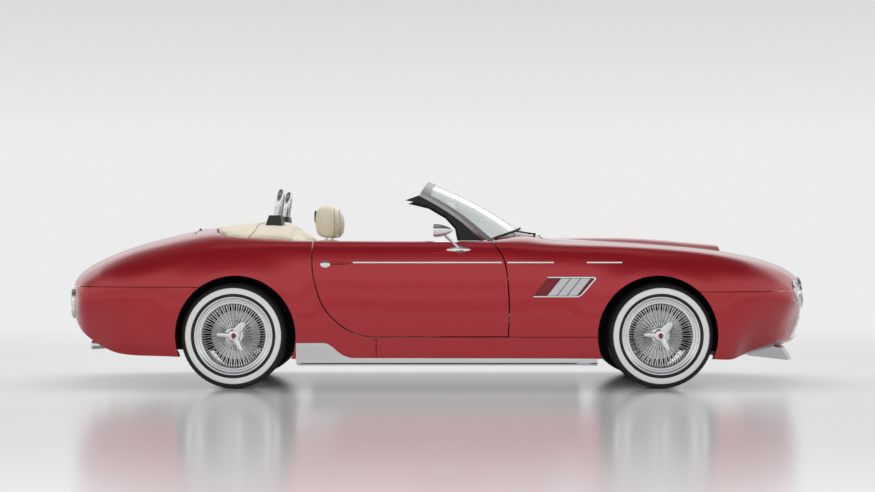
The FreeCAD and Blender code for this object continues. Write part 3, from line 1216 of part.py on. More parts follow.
export("lamp_bezels", [s for b in bezels for s in pair(b)])
export("headlamps", [s for b in lenses for s in pair(b)])
export("tail_lamps", pair(largest(tail_lens)))

# Front splitter and exhaust
SPLITTER = [(2020, 186), (2345, 158), (2340, 174), (2296, 236), (2180, 262), (2030, 262)]
SPLITTER_HALF = 430.0
SPLITTER_SWEEP = 76.0
splitter_rings = []
for k in range(-4, 5):
    sweep = SPLITTER_SWEEP * (k / 4) ** 2
    splitter_rings.append([(x - sweep * ease((x - 2030) / 160), SPLITTER_HALF * k / 4, z)
                           for x, z in SPLITTER])
export("splitter", largest(off_skin(loft(splitter_rings, True), raised_more)))

muffler = cylinder_y(MUFFLER_X, MUFFLER_Z, MUFFLER_RADIUS, -420, 420)
pipes = [rod((PIPE_REAR_X, y, PIPE_Z), (MUFFLER_X, y, PIPE_Z + PIPE_RISE), PIPE_RADIUS)
         for y in PIPE_YS]
bores = [rod((PIPE_REAR_X - 10, y, PIPE_Z - 0.6), (PIPE_REAR_X + 160, y, PIPE_Z + 10), PIPE_RADIUS - 3)
         for y in PIPE_YS]
hangers = [box(MUFFLER_X - 8, MUFFLER_X + 8, y - 10, y + 10, 340, BOOT_FLOOR_Z - SEAT_GAP)
           for y in (-200.0, 200.0)]
exhaust = fuse([muffler] + pipes + hangers).cut(Part.makeCompound(bores))
export("exhaust", exhaust)
radiator = box(2062, 2100, -RAIL_INNER_Y + SEAT_GAP, RAIL_INNER_Y - SEAT_GAP, 268, 700)
export("radiator", radiator.common(seat_form))

# Side trim
vent_surround = prism_y([(590, 573), (880, 573), (913, 591), (999, 695), (984, 704),
                         (686, 704)], 500, 1100)
vent_open = prism_y([(540, 584), (876, 584), (900, 596), (982, 690), (974, 693), (620, 693)],
                    400, 1200)
vent_frame = layer(vent_surround.cut(vent_open), proud_6, form)
vent_sleeve = layer(prism_y([(597, 581), (883, 581), (907, 591), (991, 693.5), (980, 697.5),
                             (691, 697.5)], 500, 1100), form, deep_45)
vent_sleeve = vent_sleeve.cut(vent_open)
fins = []
for x0 in (628.0, 712.0, 796.0):
    fins.append(prism_y([(x0, 575), (x0 + 44, 575), (x0 + 140, 702), (x0 + 96, 702)], 500, 1100))
fin_tool = Part.makeCompound(fins).common(
    prism_y([(597, 581), (883, 581), (907, 591), (991, 693.5), (980, 697.5), (691, 697.5)],
            500, 1100))
fin_solids = layer(fin_tool, body_form(2.0), body_form(26.0))
vent_parts = [s for s in vent_frame.Solids + vent_sleeve.Solids + fin_solids.Solids
              if s.BoundBox.YMin > 400]
export("side_vents", [s for p in fuse(vent_parts).Solids for s in pair(p)])

z0 = STRIP_Z - STRIP_HEIGHT / 2
z1 = STRIP_Z + STRIP_HEIGHT / 2


def strip(points):
    return largest(layer(prism_y(points, 600, 1100), proud_3, raised))


wing_strips = [strip([(460, z0), (729, z0), (729, z1), (460, z1)]),
               strip([(935, z0), (1140, z0), (1156, STRIP_Z), (1140, z1), (935, z1)])]
export("wing_strips", [s for w in wing_strips for s in pair(w)])
door_strip = strip([(-529, z0), (402, z0), (402, z1), (-529, z1)])
LOCK_X = -708.0
LOCK_RADIUS = 26.0
lock = layer(cylinder_y(LOCK_X, STRIP_Z - 4, LOCK_RADIUS, 600, 1100), proud_10, raised)
handle = layer(box(LOCK_X + LOCK_RADIUS + 2, -565, 600, 1100, STRIP_Z - 13, STRIP_Z + 9), proud_10,
               raised)
door_trim = [door_strip] + [s for s in lock.Solids + handle.Solids if s.BoundBox.YMin > 500]
export("door_trim_left", door_trim)
export("door_trim_right", [mirror(s) for s in door_trim])

SILL_TRIM = [(-884, 168), (-878, 155), (-866, 149), (1000, 149), (1000, 193), (-540, 196),
             (-590, 212), (-628, 240), (-666, 274), (-710, 290), (-884, 290)]
sill_trim = off_skin(prism_y(SILL_TRIM, 838, 886), raised)
sill_trim = sill_trim.cut(cylinder_y(REAR_ARCH_X, ARCH_Z, ARCH_RADIUS, 800, 900))
export("sill_trims", pair(largest(sill_trim)))

# Door mirrors: bullet head on a slim stalk
MIRROR_X = -25.0
MIRROR_Z = 994.0
MIRROR_Y = 938.0
bullet = Part.Wire([spline_edge([(0, 0, 38), (20, 0, 39), (60, 0, 33), (96, 0, 20), (124, 0, 0)]),
                    Part.makeLine(V(124, 0, 0), V(0, 0, 0)),
                    Part.makeLine(V(0, 0, 0), V(0, 0, 38))])
head = Part.Face(bullet).revolve(V(0, 0, 0), V(1, 0, 0), 360)
head.translate(V(MIRROR_X, MIRROR_Y, MIRROR_Z))
foot_y = skin_y(form, 140, 873)
stalk = rod((140, foot_y - 6, 873), (36, MIRROR_Y - 12, MIRROR_Z - 12), 8.5)
pad = rod((140, foot_y - 14, 866), (138, foot_y + 9, 876), 25)
mirror_body = largest(fuse([head, largest(off_skin(fuse([stalk, pad]), raised))]))
export("mirror_left", mirror_body)
export("mirror_right", mirror(mirror_body))
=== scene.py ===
"""Open roadster: the visual model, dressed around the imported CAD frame, laid out as a Blender add-on."""

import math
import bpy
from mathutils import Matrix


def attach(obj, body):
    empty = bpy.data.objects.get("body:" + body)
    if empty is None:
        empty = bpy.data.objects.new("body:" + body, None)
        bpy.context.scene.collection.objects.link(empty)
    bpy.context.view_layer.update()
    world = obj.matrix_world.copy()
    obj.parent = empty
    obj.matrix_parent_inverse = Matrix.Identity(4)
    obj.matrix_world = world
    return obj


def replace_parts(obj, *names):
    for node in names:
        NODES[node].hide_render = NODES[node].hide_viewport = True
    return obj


bl_info = {
    "name": "Open Roadster Dressing",
    "version": (1, 0, 0),
    "blender": (4, 5, 0),
    "location": "View3D > Sidebar > Roadster",
    "description": "Dresses the packed roadster frame with paint, wire wheels, padded leather and trim",
    "category": "Object",
}

import bmesh
import bpy
import numpy as np
from mathutils import Vector
from mathutils.bvhtree import BVHTree

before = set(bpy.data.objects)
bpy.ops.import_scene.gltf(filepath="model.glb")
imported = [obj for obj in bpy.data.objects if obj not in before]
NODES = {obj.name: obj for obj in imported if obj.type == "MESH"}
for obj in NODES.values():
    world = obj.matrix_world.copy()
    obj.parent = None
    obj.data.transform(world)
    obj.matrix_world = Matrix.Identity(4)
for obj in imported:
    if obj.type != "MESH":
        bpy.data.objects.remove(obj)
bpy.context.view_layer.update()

FRONT_AXLE_X = 1.402
REAR_AXLE_X = -1.280
AXLE_Z = 0.332
TRACK_HALF = 0.745
CORNERS = {
    "front_left": (FRONT_AXLE_X, 1),
    "front_right": (FRONT_AXLE_X, -1),
    "rear_left": (REAR_AXLE_X, 1),
    "rear_right": (REAR_AXLE_X, -1),
}
SEAT_Y = 0.362
COLUMN_TILT = math.radians(22)
STEERING_HUB = (-0.020, 0.362, 0.732)


class RoadsterFinishes(bpy.types.PropertyGroup):
    """Colours of the car's finishes."""

    paint: bpy.props.FloatVectorProperty(
        name="Paint", description="Colour of the metallic lacquer", subtype="COLOR",
        size=3, min=0, max=1, default=(0.44, 0.007, 0.017))
    leather: bpy.props.FloatVectorProperty(
        name="Leather", description="Colour of seats and rear deck", subtype="COLOR",
        size=3, min=0, max=1, default=(0.84, 0.76, 0.60))
    piping: bpy.props.FloatVectorProperty(
        name="Piping", description="Colour of seams and piping", subtype="COLOR",
        size=3, min=0, max=1, default=(0.40, 0.32, 0.21))


class RoadsterWheels(bpy.types.PropertyGroup):
    """Sizes of the wire wheels and tyres."""

    band_inner: bpy.props.FloatProperty(
        name="Band inner radius", description="Inner edge of the white side band", unit="LENGTH",
        min=0.25, max=0.29, default=0.265)
    band_outer: bpy.props.FloatProperty(
        name="Band outer radius", description="Outer edge of the white side band", unit="LENGTH",
        min=0.29, max=0.32, default=0.302)
    spokes_per_row: bpy.props.IntProperty(
        name="Spokes per row", description="Wire spokes in each of the two rows",
        min=12, max=60, default=36)
    spoke_diameter: bpy.props.FloatProperty(
        name="Spoke diameter", description="Thickness of one wire spoke", unit="LENGTH",
        min=0.002, max=0.008, default=0.0046)
    groove_depth: bpy.props.FloatProperty(
        name="Tread depth", description="Depth of the tread grooves", unit="LENGTH",
        min=0.001, max=0.01, default=0.006)


class RoadsterCabin(bpy.types.PropertyGroup):
    """Sizes of the padded pieces."""

    padding_swell: bpy.props.FloatProperty(
        name="Padding swell", description="How far padding may rise in its cloth pass",
        unit="LENGTH", min=0.0, max=0.03, default=0.008)
    voxel: bpy.props.FloatProperty(
        name="Padding detail", description="Mesh size of the simulated padding", unit="LENGTH",
        min=0.003, max=0.02, default=0.0105)


# Materials


def new_material(name):
    """An empty node material with a Principled shader, and the two nodes' handles."""
    material = bpy.data.materials.new(name)
    material.use_nodes = True
    nodes = material.node_tree.nodes
    return material, nodes, material.node_tree.links, nodes["Principled BSDF"]


def set_sockets(shader, **values):
    """Writes constant numbers and colours on a shader's own sockets."""
    for key, value in values.items():
        socket = shader.inputs[key.replace("_", " ")]
        if hasattr(socket.default_value, "__len__") and len(value) == 3:
            value = (*value, 1.0)
        socket.default_value = value


def noise(nodes, links, scale, detail=3.0, roughness=0.5, stretch=None):
    """A noise texture on object coordinates, stretched along the axes if asked."""
    coordinates = nodes.new("ShaderNodeTexCoord")
    texture = nodes.new("ShaderNodeTexNoise")
    texture.inputs["Scale"].default_value = scale
    texture.inputs["Detail"].default_value = detail
    texture.inputs["Roughness"].default_value = roughness
    if stretch:
        mapping = nodes.new("ShaderNodeMapping")
        mapping.inputs["Scale"].default_value = stretch
        links.new(coordinates.outputs["Object"], mapping.inputs["Vector"])
        links.new(mapping.outputs["Vector"], texture.inputs["Vector"])
    else:
        links.new(coordinates.outputs["Object"], texture.inputs["Vector"])
    return texture


def bump(nodes, links, height, shader, strength, distance, socket="Normal"):
    """A bump from a height output into the shader's normal."""
    node = nodes.new("ShaderNodeBump")
    node.inputs["Strength"].default_value = strength
    node.inputs["Distance"].default_value = distance
    links.new(height, node.inputs["Height"])
    links.new(node.outputs["Normal"], shader.inputs[socket])
    return node


def ramp(nodes, links, factor, stops):
    """A colour ramp with (position, colour) stops."""
    node = nodes.new("ShaderNodeValToRGB")
    while len(node.color_ramp.elements) < len(stops):
        node.color_ramp.elements.new(0.5)
    for element, (position, colour) in zip(node.color_ramp.elements, stops):
        element.position = position
        element.color = (*colour, 1.0)
    links.new(factor, node.inputs["Fac"])
    return node


def scaled(colour, factor):
    return tuple(min(1.0, c * factor) for c in colour)


def metallic_paint(colour, name="metallic_lacquer"):
    """Lacquer: a metallic base with fine flake grain under a clear coat."""
    material, nodes, links, shader = new_material(name)
    set_sockets(shader, Metallic=0.55, Roughness=0.34, Specular_IOR_Level=0.15, Coat_Weight=1.0,
                Coat_Roughness=0.03, Coat_IOR=1.5)
    flakes = noise(nodes, links, 900, 2.0, 0.6)
    shade = ramp(nodes, links, flakes.outputs["Fac"],
                 [(0.30, scaled(colour, 0.86)), (0.70, scaled(colour, 1.12))])
    links.new(shade.outputs["Color"], shader.inputs["Base Color"])
    bump(nodes, links, flakes.outputs["Fac"], shader, 0.05, 0.0004)
    return material


def polished(name, colour, roughness, grain=0.0, stretch=None):
    """Metal with a faint polishing grain in its gloss."""
    material, nodes, links, shader = new_material(name)
    set_sockets(shader, Base_Color=colour, Metallic=1.0, Roughness=roughness)
    texture = noise(nodes, links, 60, 3.0, 0.5, stretch)
    spread = nodes.new("ShaderNodeMapRange")
    spread.inputs["To Min"].default_value = roughness * 0.9
    spread.inputs["To Max"].default_value = roughness * 1.1
    links.new(texture.outputs["Fac"], spread.inputs["Value"])
    links.new(spread.outputs["Result"], shader.inputs["Roughness"])
    if grain:
        bump(nodes, links, texture.outputs["Fac"], shader, grain, 0.0005)
    return material


def grained(name, colour, roughness, scale, strength, depth, contrast=0.2, sheen=0.0):
    """Leather, plastic or rubber: a fine pebble grain and a slow change of tone."""
    material, nodes, links, shader = new_material(name)
    set_sockets(shader, Roughness=roughness, Specular_IOR_Level=0.4, Sheen_Weight=sheen)
    coordinates = nodes.new("ShaderNodeTexCoord")
    cells = nodes.new("ShaderNodeTexVoronoi")
    cells.feature = "F1"
    cells.inputs["Scale"].default_value = scale
    links.new(coordinates.outputs["Object"], cells.inputs["Vector"])
    clouds = noise(nodes, links, 7, 4.0, 0.6)
    shade = ramp(nodes, links, clouds.outputs["Fac"],
                 [(0.32, scaled(colour, 1 - contrast * 0.5)), (0.68, scaled(colour, 1 + contrast * 0.5))])
    links.new(shade.outputs["Color"], shader.inputs["Base Color"])
    bump(nodes, links, cells.outputs["Distance"], shader, strength, depth)
    return material


def clear_glass(name, tint):
    material, _, _, shader = new_material(name)
    set_sockets(shader, Base_Color=tint, Roughness=0.0, IOR=1.45, Transmission_Weight=1.0)
    return material


def lit_plastic(name, colour, roughness=0.08):
    """Clear coloured lens plastic with fine prism ribs."""
    material, nodes, links, shader = new_material(name)
    set_sockets(shader, Base_Color=colour, Roughness=roughness, Coat_Weight=0.6)
    coordinates = nodes.new("ShaderNodeTexCoord")
    wave = nodes.new("ShaderNodeTexWave")
    wave.inputs["Scale"].default_value = 60
    wave.bands_direction = "Z"
    links.new(coordinates.outputs["Object"], wave.inputs["Vector"])
    bump(nodes, links, wave.outputs["Fac"], shader, 0.35, 0.001)
    return material


def carpet(name, colour):
    """Short cut pile: speckled colour with a strong fine bump."""
    material, nodes, links, shader = new_material(name)
    set_sockets(shader, Roughness=0.95, Sheen_Weight=0.3)
    pile = noise(nodes, links, 420, 4.0, 0.7)
    shade = ramp(nodes, links, pile.outputs["Fac"],
                 [(0.3, scaled(colour, 0.55)), (0.7, scaled(colour, 1.3))])
    links.new(shade.outputs["Color"], shader.inputs["Base Color"])
    bump(nodes, links, pile.outputs["Fac"], shader, 0.8, 0.003)
    return material


MATERIALS = {}


def make_materials(finishes):
    paint = tuple(finishes.paint)
    leather = tuple(finishes.leather)
    MATERIALS.update({
        "paint": metallic_paint(paint),
        "chrome": polished("polished_chrome", (0.80, 0.81, 0.82), 0.07),
        "silver": polished("satin_silver", (0.66, 0.67, 0.68), 0.24),
        "spoke_steel": polished("spoke_steel", (0.72, 0.73, 0.74), 0.16),
        "steel": polished("machined_steel", (0.42, 0.42, 0.43), 0.34, 0.05, (1, 9, 1)),
        "cast": polished("cast_alloy", (0.30, 0.30, 0.31), 0.55, 0.3),
        "leather": grained("cream_leather", leather, 0.46, 520, 0.28, 0.0006, 0.08, 0.12),
        "dark_leather": grained("dark_leather", (0.045, 0.040, 0.038), 0.45, 520, 0.3, 0.0006, 0.2),
        "piping": grained("leather_seam", tuple(finishes.piping), 0.6, 700, 0.2, 0.0004, 0.1),
        "tyre": grained("tyre_rubber", (0.020, 0.020, 0.021), 0.62, 380, 0.15, 0.0005, 0.3),
        "whitewall": grained("white_rubber", (0.88, 0.88, 0.87), 0.55, 300, 0.08, 0.0004, 0.04),
        "rubber": grained("seal_rubber", (0.018, 0.018, 0.019), 0.58, 500, 0.2, 0.0005, 0.2),
        "plastic": grained("black_plastic", (0.028, 0.028, 0.030), 0.48, 700, 0.3, 0.0006, 0.15),
        "structure": grained("body_black", (0.022, 0.022, 0.024), 0.60, 120, 0.1, 0.0008, 0.3),
        "liner": grained("arch_black", (0.010, 0.010, 0.011), 0.85, 260, 0.4, 0.0012, 0.3),
        "carpet": carpet("dark_carpet", (0.035, 0.032, 0.030)),
        "glass": clear_glass("screen_glass", (0.93, 0.97, 0.96)),
        "lamp_glass": clear_glass("lamp_cover", (0.98, 0.98, 0.98)),
        "red_lens": lit_plastic("red_lens", (0.42, 0.010, 0.012)),
        "hub_red": lit_plastic("hub_enamel", (0.22, 0.008, 0.012), 0.15),
        # A copy of the lacquer at 0.55 of its colour: the cam covers' darker red, and the painted shade of
        # the panel set behind each side vent's fins
        "paint_dark": metallic_paint(scaled(paint, 0.55), "dark_lacquer_and_painted_shade"),
        "mirror_face": polished("mirror_silver", (0.86, 0.87, 0.88), 0.02),
        "dial": grained("dial_black", (0.012, 0.012, 0.013), 0.25, 900, 0.05, 0.0003, 0.1),
        "bright": polished("bright_trim", (0.93, 0.93, 0.93), 0.20),
        "brushed": polished("brushed_alloy", (0.50, 0.505, 0.51), 0.28),
    })


# Meshes


def weld(mesh, distance=1e-6):
    """Merges doubled points and turns every face outwards."""
    work = bmesh.new()
    work.from_mesh(mesh)
    bmesh.ops.remove_doubles(work, verts=work.verts, dist=distance)
    bmesh.ops.recalc_face_normals(work, faces=work.faces)
    work.to_mesh(mesh)
    work.free()


def piece(name, parts, material, body, sharp=35, merge=1e-6, index=None):
    """A finished object from a list of (points, faces), riding on a body."""
    points = np.concatenate([np.asarray(p, float).reshape(-1, 3) for p, _ in parts])
    faces = []
    start = 0
    for part_points, part_faces in parts:
        count = np.asarray(part_points).reshape(-1, 3).shape[0]
        if isinstance(part_faces, np.ndarray):
            faces += (part_faces + start).tolist()
        else:
            faces += [[v + start for v in face] for face in part_faces]
        start += count
    mesh = bpy.data.meshes.new(name)
    mesh.from_pydata(points.tolist(), [], faces)
    if index is not None:
        mesh.polygons.foreach_set("material_index", index)
    weld(mesh, merge)
    mesh.shade_smooth()
    mesh.set_sharp_from_angle(angle=math.radians(sharp))
    obj = bpy.data.objects.new(name, mesh)
    bpy.context.scene.collection.objects.link(obj)
    for m in material if isinstance(material, (list, tuple)) else [material]:
        mesh.materials.append(MATERIALS[m])
    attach(obj, body)
    return obj


def grid_faces(rows, columns, wrap_rows=False, wrap_columns=False):
    """Quads of a grid of rows x columns points, joined round where asked."""
    i = np.arange(rows if wrap_rows else rows - 1)
    j = np.arange(columns if wrap_columns else columns - 1)
    a, b = np.meshgrid(i, j, indexing="ij")
    c, d = (a + 1) % rows, (b + 1) % columns
    quads = [a * columns + b, c * columns + b, c * columns + d, a * columns + d]
    return np.stack(quads, -1).reshape(-1, 4)


def sheet_part(points, wrap_rows=False, wrap_columns=False):
    """A (points, faces) part from a grid array of shape (rows, columns, 3)."""
    rows, columns = points.shape[:2]
    return points.reshape(-1, 3), grid_faces(rows, columns, wrap_rows, wrap_columns)


def closed_ends(grid):
    """The grid with a pole added at each end."""
    first = grid[:1].mean(1, keepdims=True).repeat(grid.shape[1], 1)
    last = grid[-1:].mean(1, keepdims=True).repeat(grid.shape[1], 1)
    return np.concatenate([first, grid, last])


def closed_shell(front, back):
    """A closed part from two grids (along, across): across the front, back across the rear."""
    return sheet_part(closed_ends(np.concatenate([front, back[:, ::-1]], 1)), False, True)


def turned(profile, steps, closed=True):
    """A profile of (radius, y) turned about Y: x = r cos a, z = r sin a for a round the circle."""
    profile = np.asarray(profile, float)
    a = np.linspace(0, 2 * np.pi, steps, endpoint=False)[:, None]
    points = np.stack([profile[:, 0] * np.cos(a), np.broadcast_to(profile[:, 1], (steps, len(profile))),
                       profile[:, 0] * np.sin(a)], -1)
    return sheet_part(points, True, closed)


def oval(half_width, half_height, count, centre):
    """A closed line of count points: centre + (w cos a, h sin a)."""
    a = np.linspace(0, 2 * np.pi, count, endpoint=False)
    return np.stack([centre[0] + half_width * np.cos(a), centre[1] + half_height * np.sin(a)], -1)


def smooth_line(knots, count):
    """A curve through knots: Catmull-Rom cubics sampled at count even steps of the parameter."""
    knots = np.asarray(knots, float)
    t = np.linspace(0, len(knots) - 1, count)
    i = np.minimum(t.astype(int), len(knots) - 2)
    f = (t - i)[:, None]
    padded_knots = np.concatenate([2 * knots[:1] - knots[1:2], knots, 2 * knots[-1:] - knots[-2:-1]])
    p0, p1, p2, p3 = (padded_knots[i + k] for k in range(4))
    return 0.5 * (2 * p1 + (p2 - p0) * f + (2 * p0 - 5 * p1 + 4 * p2 - p3) * f ** 2
                  + (3 * p1 - p0 - 3 * p2 + p3) * f ** 3)


def frames_along(path, up=(0.0, 0.0, 1.0)):
    """Unit side and lift of a path: side = tangent x up, lift = side x tangent."""
    tangent = np.gradient(path, axis=0)
    tangent /= np.linalg.norm(tangent, axis=1, keepdims=True)
    side = np.cross(tangent, np.asarray(up, float))
    side /= np.linalg.norm(side, axis=1, keepdims=True)
    return side, np.cross(side, tangent)


def tube(path, radius, sides=12, up=(0.0, 0.0, 1.0), closed=False, flat=1.0):
    """A round bar along a path: point + r (side cos a + lift flat sin a), its ends drawn to a point."""
    path = np.asarray(path, float)
    radius = np.broadcast_to(np.asarray(radius, float), (len(path),)).copy()
    if closed:
        around = np.concatenate([path[-1:], path, path[:1]])
        side, lift = (v[1:-1] for v in frames_along(around, up))
    else:
        side, lift = frames_along(path, up)
    a = np.linspace(0, 2 * np.pi, sides, endpoint=False)
    ring = (side[:, None] * np.cos(a)[None, :, None] + lift[:, None] * flat * np.sin(a)[None, :, None])
    points = path[:, None] + ring * radius[:, None, None]
    if not closed:
        points = np.concatenate([np.repeat(path[:1, None], sides, 1), points,
                                 np.repeat(path[-1:, None], sides, 1)])
    return sheet_part(points, closed, True)


def profile_block(outline, low, high, axis="y", edge=0.0):
    """An outline in the other two axes, drawn out from low to high with its rims drawn in by edge."""
    outline = np.asarray(outline, float)
    centre = outline.mean(0)
    span = np.abs(outline - centre).max()
    levels = [(low, edge), (low + edge, 0.0), (high - edge, 0.0), (high, edge)] if edge else \
        [(low, 0.0), (high, 0.0)]
    rings = []
    for level, inset in levels:
        ring = centre + (outline - centre) * (1 - inset / span)
        spread = np.insert(ring, "xyz".index(axis), level, axis=1)
        rings.append(spread)
    points = np.stack(rings)
    part_points, quads = sheet_part(points, False, True)
    count = len(outline)
    faces = quads.tolist() + [list(range(count))[::-1],
                              [count * (len(levels) - 1) + k for k in range(count)]]
    return part_points, faces


def block(x0, x1, y0, y1, z0, z1):
    """A plain box part."""
    return profile_block([(x0, z0), (x1, z0), (x1, z1), (x0, z1)], y0, y1)


def rounded(obj, width, segments=3, angle=30):
    """A live bevel on the piece's sharp edges."""
    modifier = obj.modifiers.new("soft_edge", "BEVEL")
    modifier.width = width
    modifier.segments = segments
    modifier.limit_method = "ANGLE"
    modifier.angle_limit = math.radians(angle)
    modifier.harden_normals = True
    return obj


def moved(part, offset):
    points, faces = part
    return np.asarray(points) + np.asarray(offset, float), faces


def flipped(part, axis=1):
    """The part mirrored across the car's middle plane; weld() turns its faces outwards again."""
    points, faces = part
    points = np.array(points, float)
    points[:, axis] *= -1
    return points, faces


def around_y(part, angles):
    """Copies of a part turned about Y by each angle, as one part."""
    points, faces = part
    points = np.asarray(points, float)
    faces = np.asarray(faces)
    a = np.asarray(angles, float)[:, None]
    x = points[:, 0] * np.cos(a) - points[:, 2] * np.sin(a)
    z = points[:, 0] * np.sin(a) + points[:, 2] * np.cos(a)
    y = np.broadcast_to(points[:, 1], x.shape)
    whole = np.stack([x, y, z], -1).reshape(-1, 3)
    offsets = (np.arange(len(a)) * len(points))[:, None, None]
    return whole, (faces[None] + offsets).reshape(-1, faces.shape[1])


def on_corner(part, corner):
    """A part made at the origin for the left side, put at a wheel's place."""
    x, side = CORNERS[corner]
    part = part if side > 0 else flipped(part)
    return moved(part, (x, side * TRACK_HALF, AXLE_Z))


# Wheels

TYRE_LINE = [(0.2345, 0.0985), (0.2440, 0.1090), (0.2520, 0.1155), (0.2650, 0.1205), (0.2830, 0.1222),
             (0.3020, 0.1190), (0.3140, 0.1115), (0.3230, 0.1020), (0.3290, 0.0900), (0.3312, 0.0780)]
TYRE_RADIUS = 0.3320
TREAD_LINE = np.array([0.0700, 0.0660, 0.0655, 0.0585, 0.0580, 0.0330, 0.0325, 0.0255, 0.0250])
OUTER_GROOVE = (0.0582, 0.0658)
INNER_GROOVE = (0.0252, 0.0328)
TREAD_STEPS = 432
STEPS_PER_BLOCK = 6
SIPE_DEPTH = 0.0025


def between(values, low, high):
    return (np.abs(values) > low) & (np.abs(values) < high)


def tyre_part(wheels):
    """The carcass, r(a, y) from a smooth side line and a crowned tread with cut grooves."""
    side = smooth_line(TYRE_LINE, 24)
    tread_y = np.concatenate([TREAD_LINE, -TREAD_LINE[::-1]])
    tread_r = TYRE_RADIUS - 0.10 * tread_y ** 2
    in_groove = between(tread_y, *OUTER_GROOVE) | between(tread_y, *INNER_GROOVE)
    line_r = np.concatenate([side[:, 0], tread_r, side[::-1, 0]])
    line_y = np.concatenate([side[:, 1], tread_y, -side[::-1, 1]])
    cut = np.concatenate([np.zeros(len(side)), in_groove * wheels.groove_depth, np.zeros(len(side))])
    a = np.linspace(0, 2 * np.pi, TREAD_STEPS, endpoint=False)[:, None]
    pitch = (np.arange(TREAD_STEPS) % STEPS_PER_BLOCK)[:, None]
    shoulder = (np.abs(line_y) > 0.068) & (line_r > 0.3255)
    notch = (pitch < 2) * shoulder * wheels.groove_depth * 0.7
    siped = (pitch == 3) * between(line_y, 0.0329, 0.058) * SIPE_DEPTH
    radius = line_r - cut - notch - siped
    points = np.stack([radius * np.cos(a), np.broadcast_to(line_y, radius.shape), radius * np.sin(a)], -1)
    return sheet_part(points, True, False)


def whitewall_part(wheels):
    """A raised white band lying 1.2 mm proud on the outer side line."""
    side = smooth_line(TYRE_LINE, 400)
    inside = (side[:, 0] >= wheels.band_inner) & (side[:, 0] <= wheels.band_outer) & (side[:, 1] > 0.1)
    line = side[inside][:: max(1, inside.sum() // 14)]
    front = line + [0, 0.0012]
    back = line[::-1] - [0, 0.0030]
    return turned(np.concatenate([line[:1], front[1:-1], line[-1:], back]), 192)


RIM_LINE = [(0.2335, 0.0975), (0.2395, 0.1015), (0.2440, 0.1060), (0.2460, 0.1092), (0.2448, 0.1110),
            (0.2410, 0.1110), (0.2360, 0.1085), (0.2325, 0.1030), (0.2270, 0.0990), (0.2225, 0.0985),
            (0.2195, 0.0960), (0.2180, 0.0900), (0.2165, 0.0900), (0.2145, 0.0935), (0.2095, 0.0950),
            (0.2040, 0.0935), (0.2000, 0.0890), (0.1965, 0.0800), (0.1935, 0.0700), (0.1915, 0.0560),
            (0.1905, 0.0300), (0.1905, -0.0050), (0.1950, -0.0200), (0.2080, -0.0400),
            (0.2180, -0.0700), (0.2300, -0.0960), (0.2380, -0.1060), (0.2440, -0.1100),
            (0.2455, -0.1060), (0.2335, -0.0960)]


def rim_part():
    return turned(smooth_line(RIM_LINE + RIM_LINE[:1], 96)[:-1], 144)


SPOKE_ROWS = ((0.050, 0.050, 0.058, 0.0873), (0.058, 0.020, 0.030, -0.1745))
NIPPLE_RADIUS = 0.1925


def spoke_part(wheels, row):
    """One row of wire spokes, straight bars from the hub flange to the rim, every other one crossed.

    A row has its radius and height at the hub, its height at the rim and its lean in radians.
    """
    count = wheels.spokes_per_row
    hub_radius, hub_y, rim_y, lean = SPOKE_ROWS[row]
    start = np.array([hub_radius, hub_y, 0.0])
    end = np.array([NIPPLE_RADIUS * math.cos(lean), rim_y, NIPPLE_RADIUS * math.sin(lean)])
    along = np.array([0.0, 0.5, 0.905, 0.912, 0.995])[:, None]
    path = start + (end - start) * along
    radius = wheels.spoke_diameter / 2 * np.array([1, 1, 1, 1.75, 1.75])
    single = tube(path, radius, 8, (0.0, 1.0, 0.0))
    first = around_y(single, np.arange(count) * 2 * np.pi / count)
    mirrored = np.array(single[0])
    mirrored[:, 2] *= -1
    second = around_y((mirrored, single[1]), (np.arange(count) + 0.5) * 2 * np.pi / count)
    return first, second


HUB_LINE = [(0.0, 0.0620), (0.0440, 0.0620), (0.0500, 0.0600), (0.0560, 0.0570), (0.0575, 0.0520),
            (0.0560, 0.0460), (0.0500, 0.0420), (0.0470, 0.0300), (0.0500, 0.0240), (0.0640, 0.0225),
            (0.0850, 0.0180), (0.0860, 0.0120), (0.0600, 0.0040), (0.0500, -0.0100), (0.0490, -0.0640),
            (0.0, -0.0640)]
DISC_LINE = [(0.0620, -0.0660), (0.1540, -0.0660), (0.1560, -0.0680), (0.1560, -0.0760), (0.1500, -0.0780),
             (0.1500, -0.0810), (0.1560, -0.0830), (0.1560, -0.0890), (0.1540, -0.0905), (0.0620, -0.0905)]
CAP_LINE = [(0.0, 0.0900), (0.0150, 0.0905), (0.0180, 0.0925), (0.0210, 0.0915), (0.0300, 0.0900),
            (0.0370, 0.0870), (0.0410, 0.0820), (0.0425, 0.0740), (0.0440, 0.0600), (0.0, 0.0600)]
BADGE_LINE = [(0.0, 0.0960), (0.0080, 0.0955), (0.0135, 0.0935), (0.0150, 0.0905), (0.0, 0.0900)]
EARS = ((175, 1.0), (52, 1.5), (-63, 0.95))


def ear_part(angle, breadth):
    """A knock-off ear: sections along its length, a rounded diamond that narrows and lifts to the tip."""
    along = np.array([0.020, 0.034, 0.050, 0.066, 0.082, 0.096, 0.104, 0.107])
    half = np.array([0.0200, 0.0190, 0.0175, 0.0160, 0.0142, 0.0120, 0.0085, 0.0020]) * breadth
    middle = np.array([0.080, 0.083, 0.086, 0.088, 0.090, 0.0915, 0.0925, 0.0930])
    thick = np.array([0.0100, 0.0090, 0.0078, 0.0066, 0.0054, 0.0044, 0.0034, 0.0010])
    b = np.linspace(0, 2 * np.pi, 24, endpoint=False)
    across = np.sign(np.cos(b)) * np.abs(np.cos(b)) ** 0.85
    lift = np.sign(np.sin(b)) * np.abs(np.sin(b)) ** 1.1
    points = np.stack([np.broadcast_to(along[:, None], (8, 24)),
                       middle[:, None] + thick[:, None] * lift[None],
                       half[:, None] * across[None]], -1)
    return around_y(sheet_part(closed_ends(points), False, True), [math.radians(angle)])


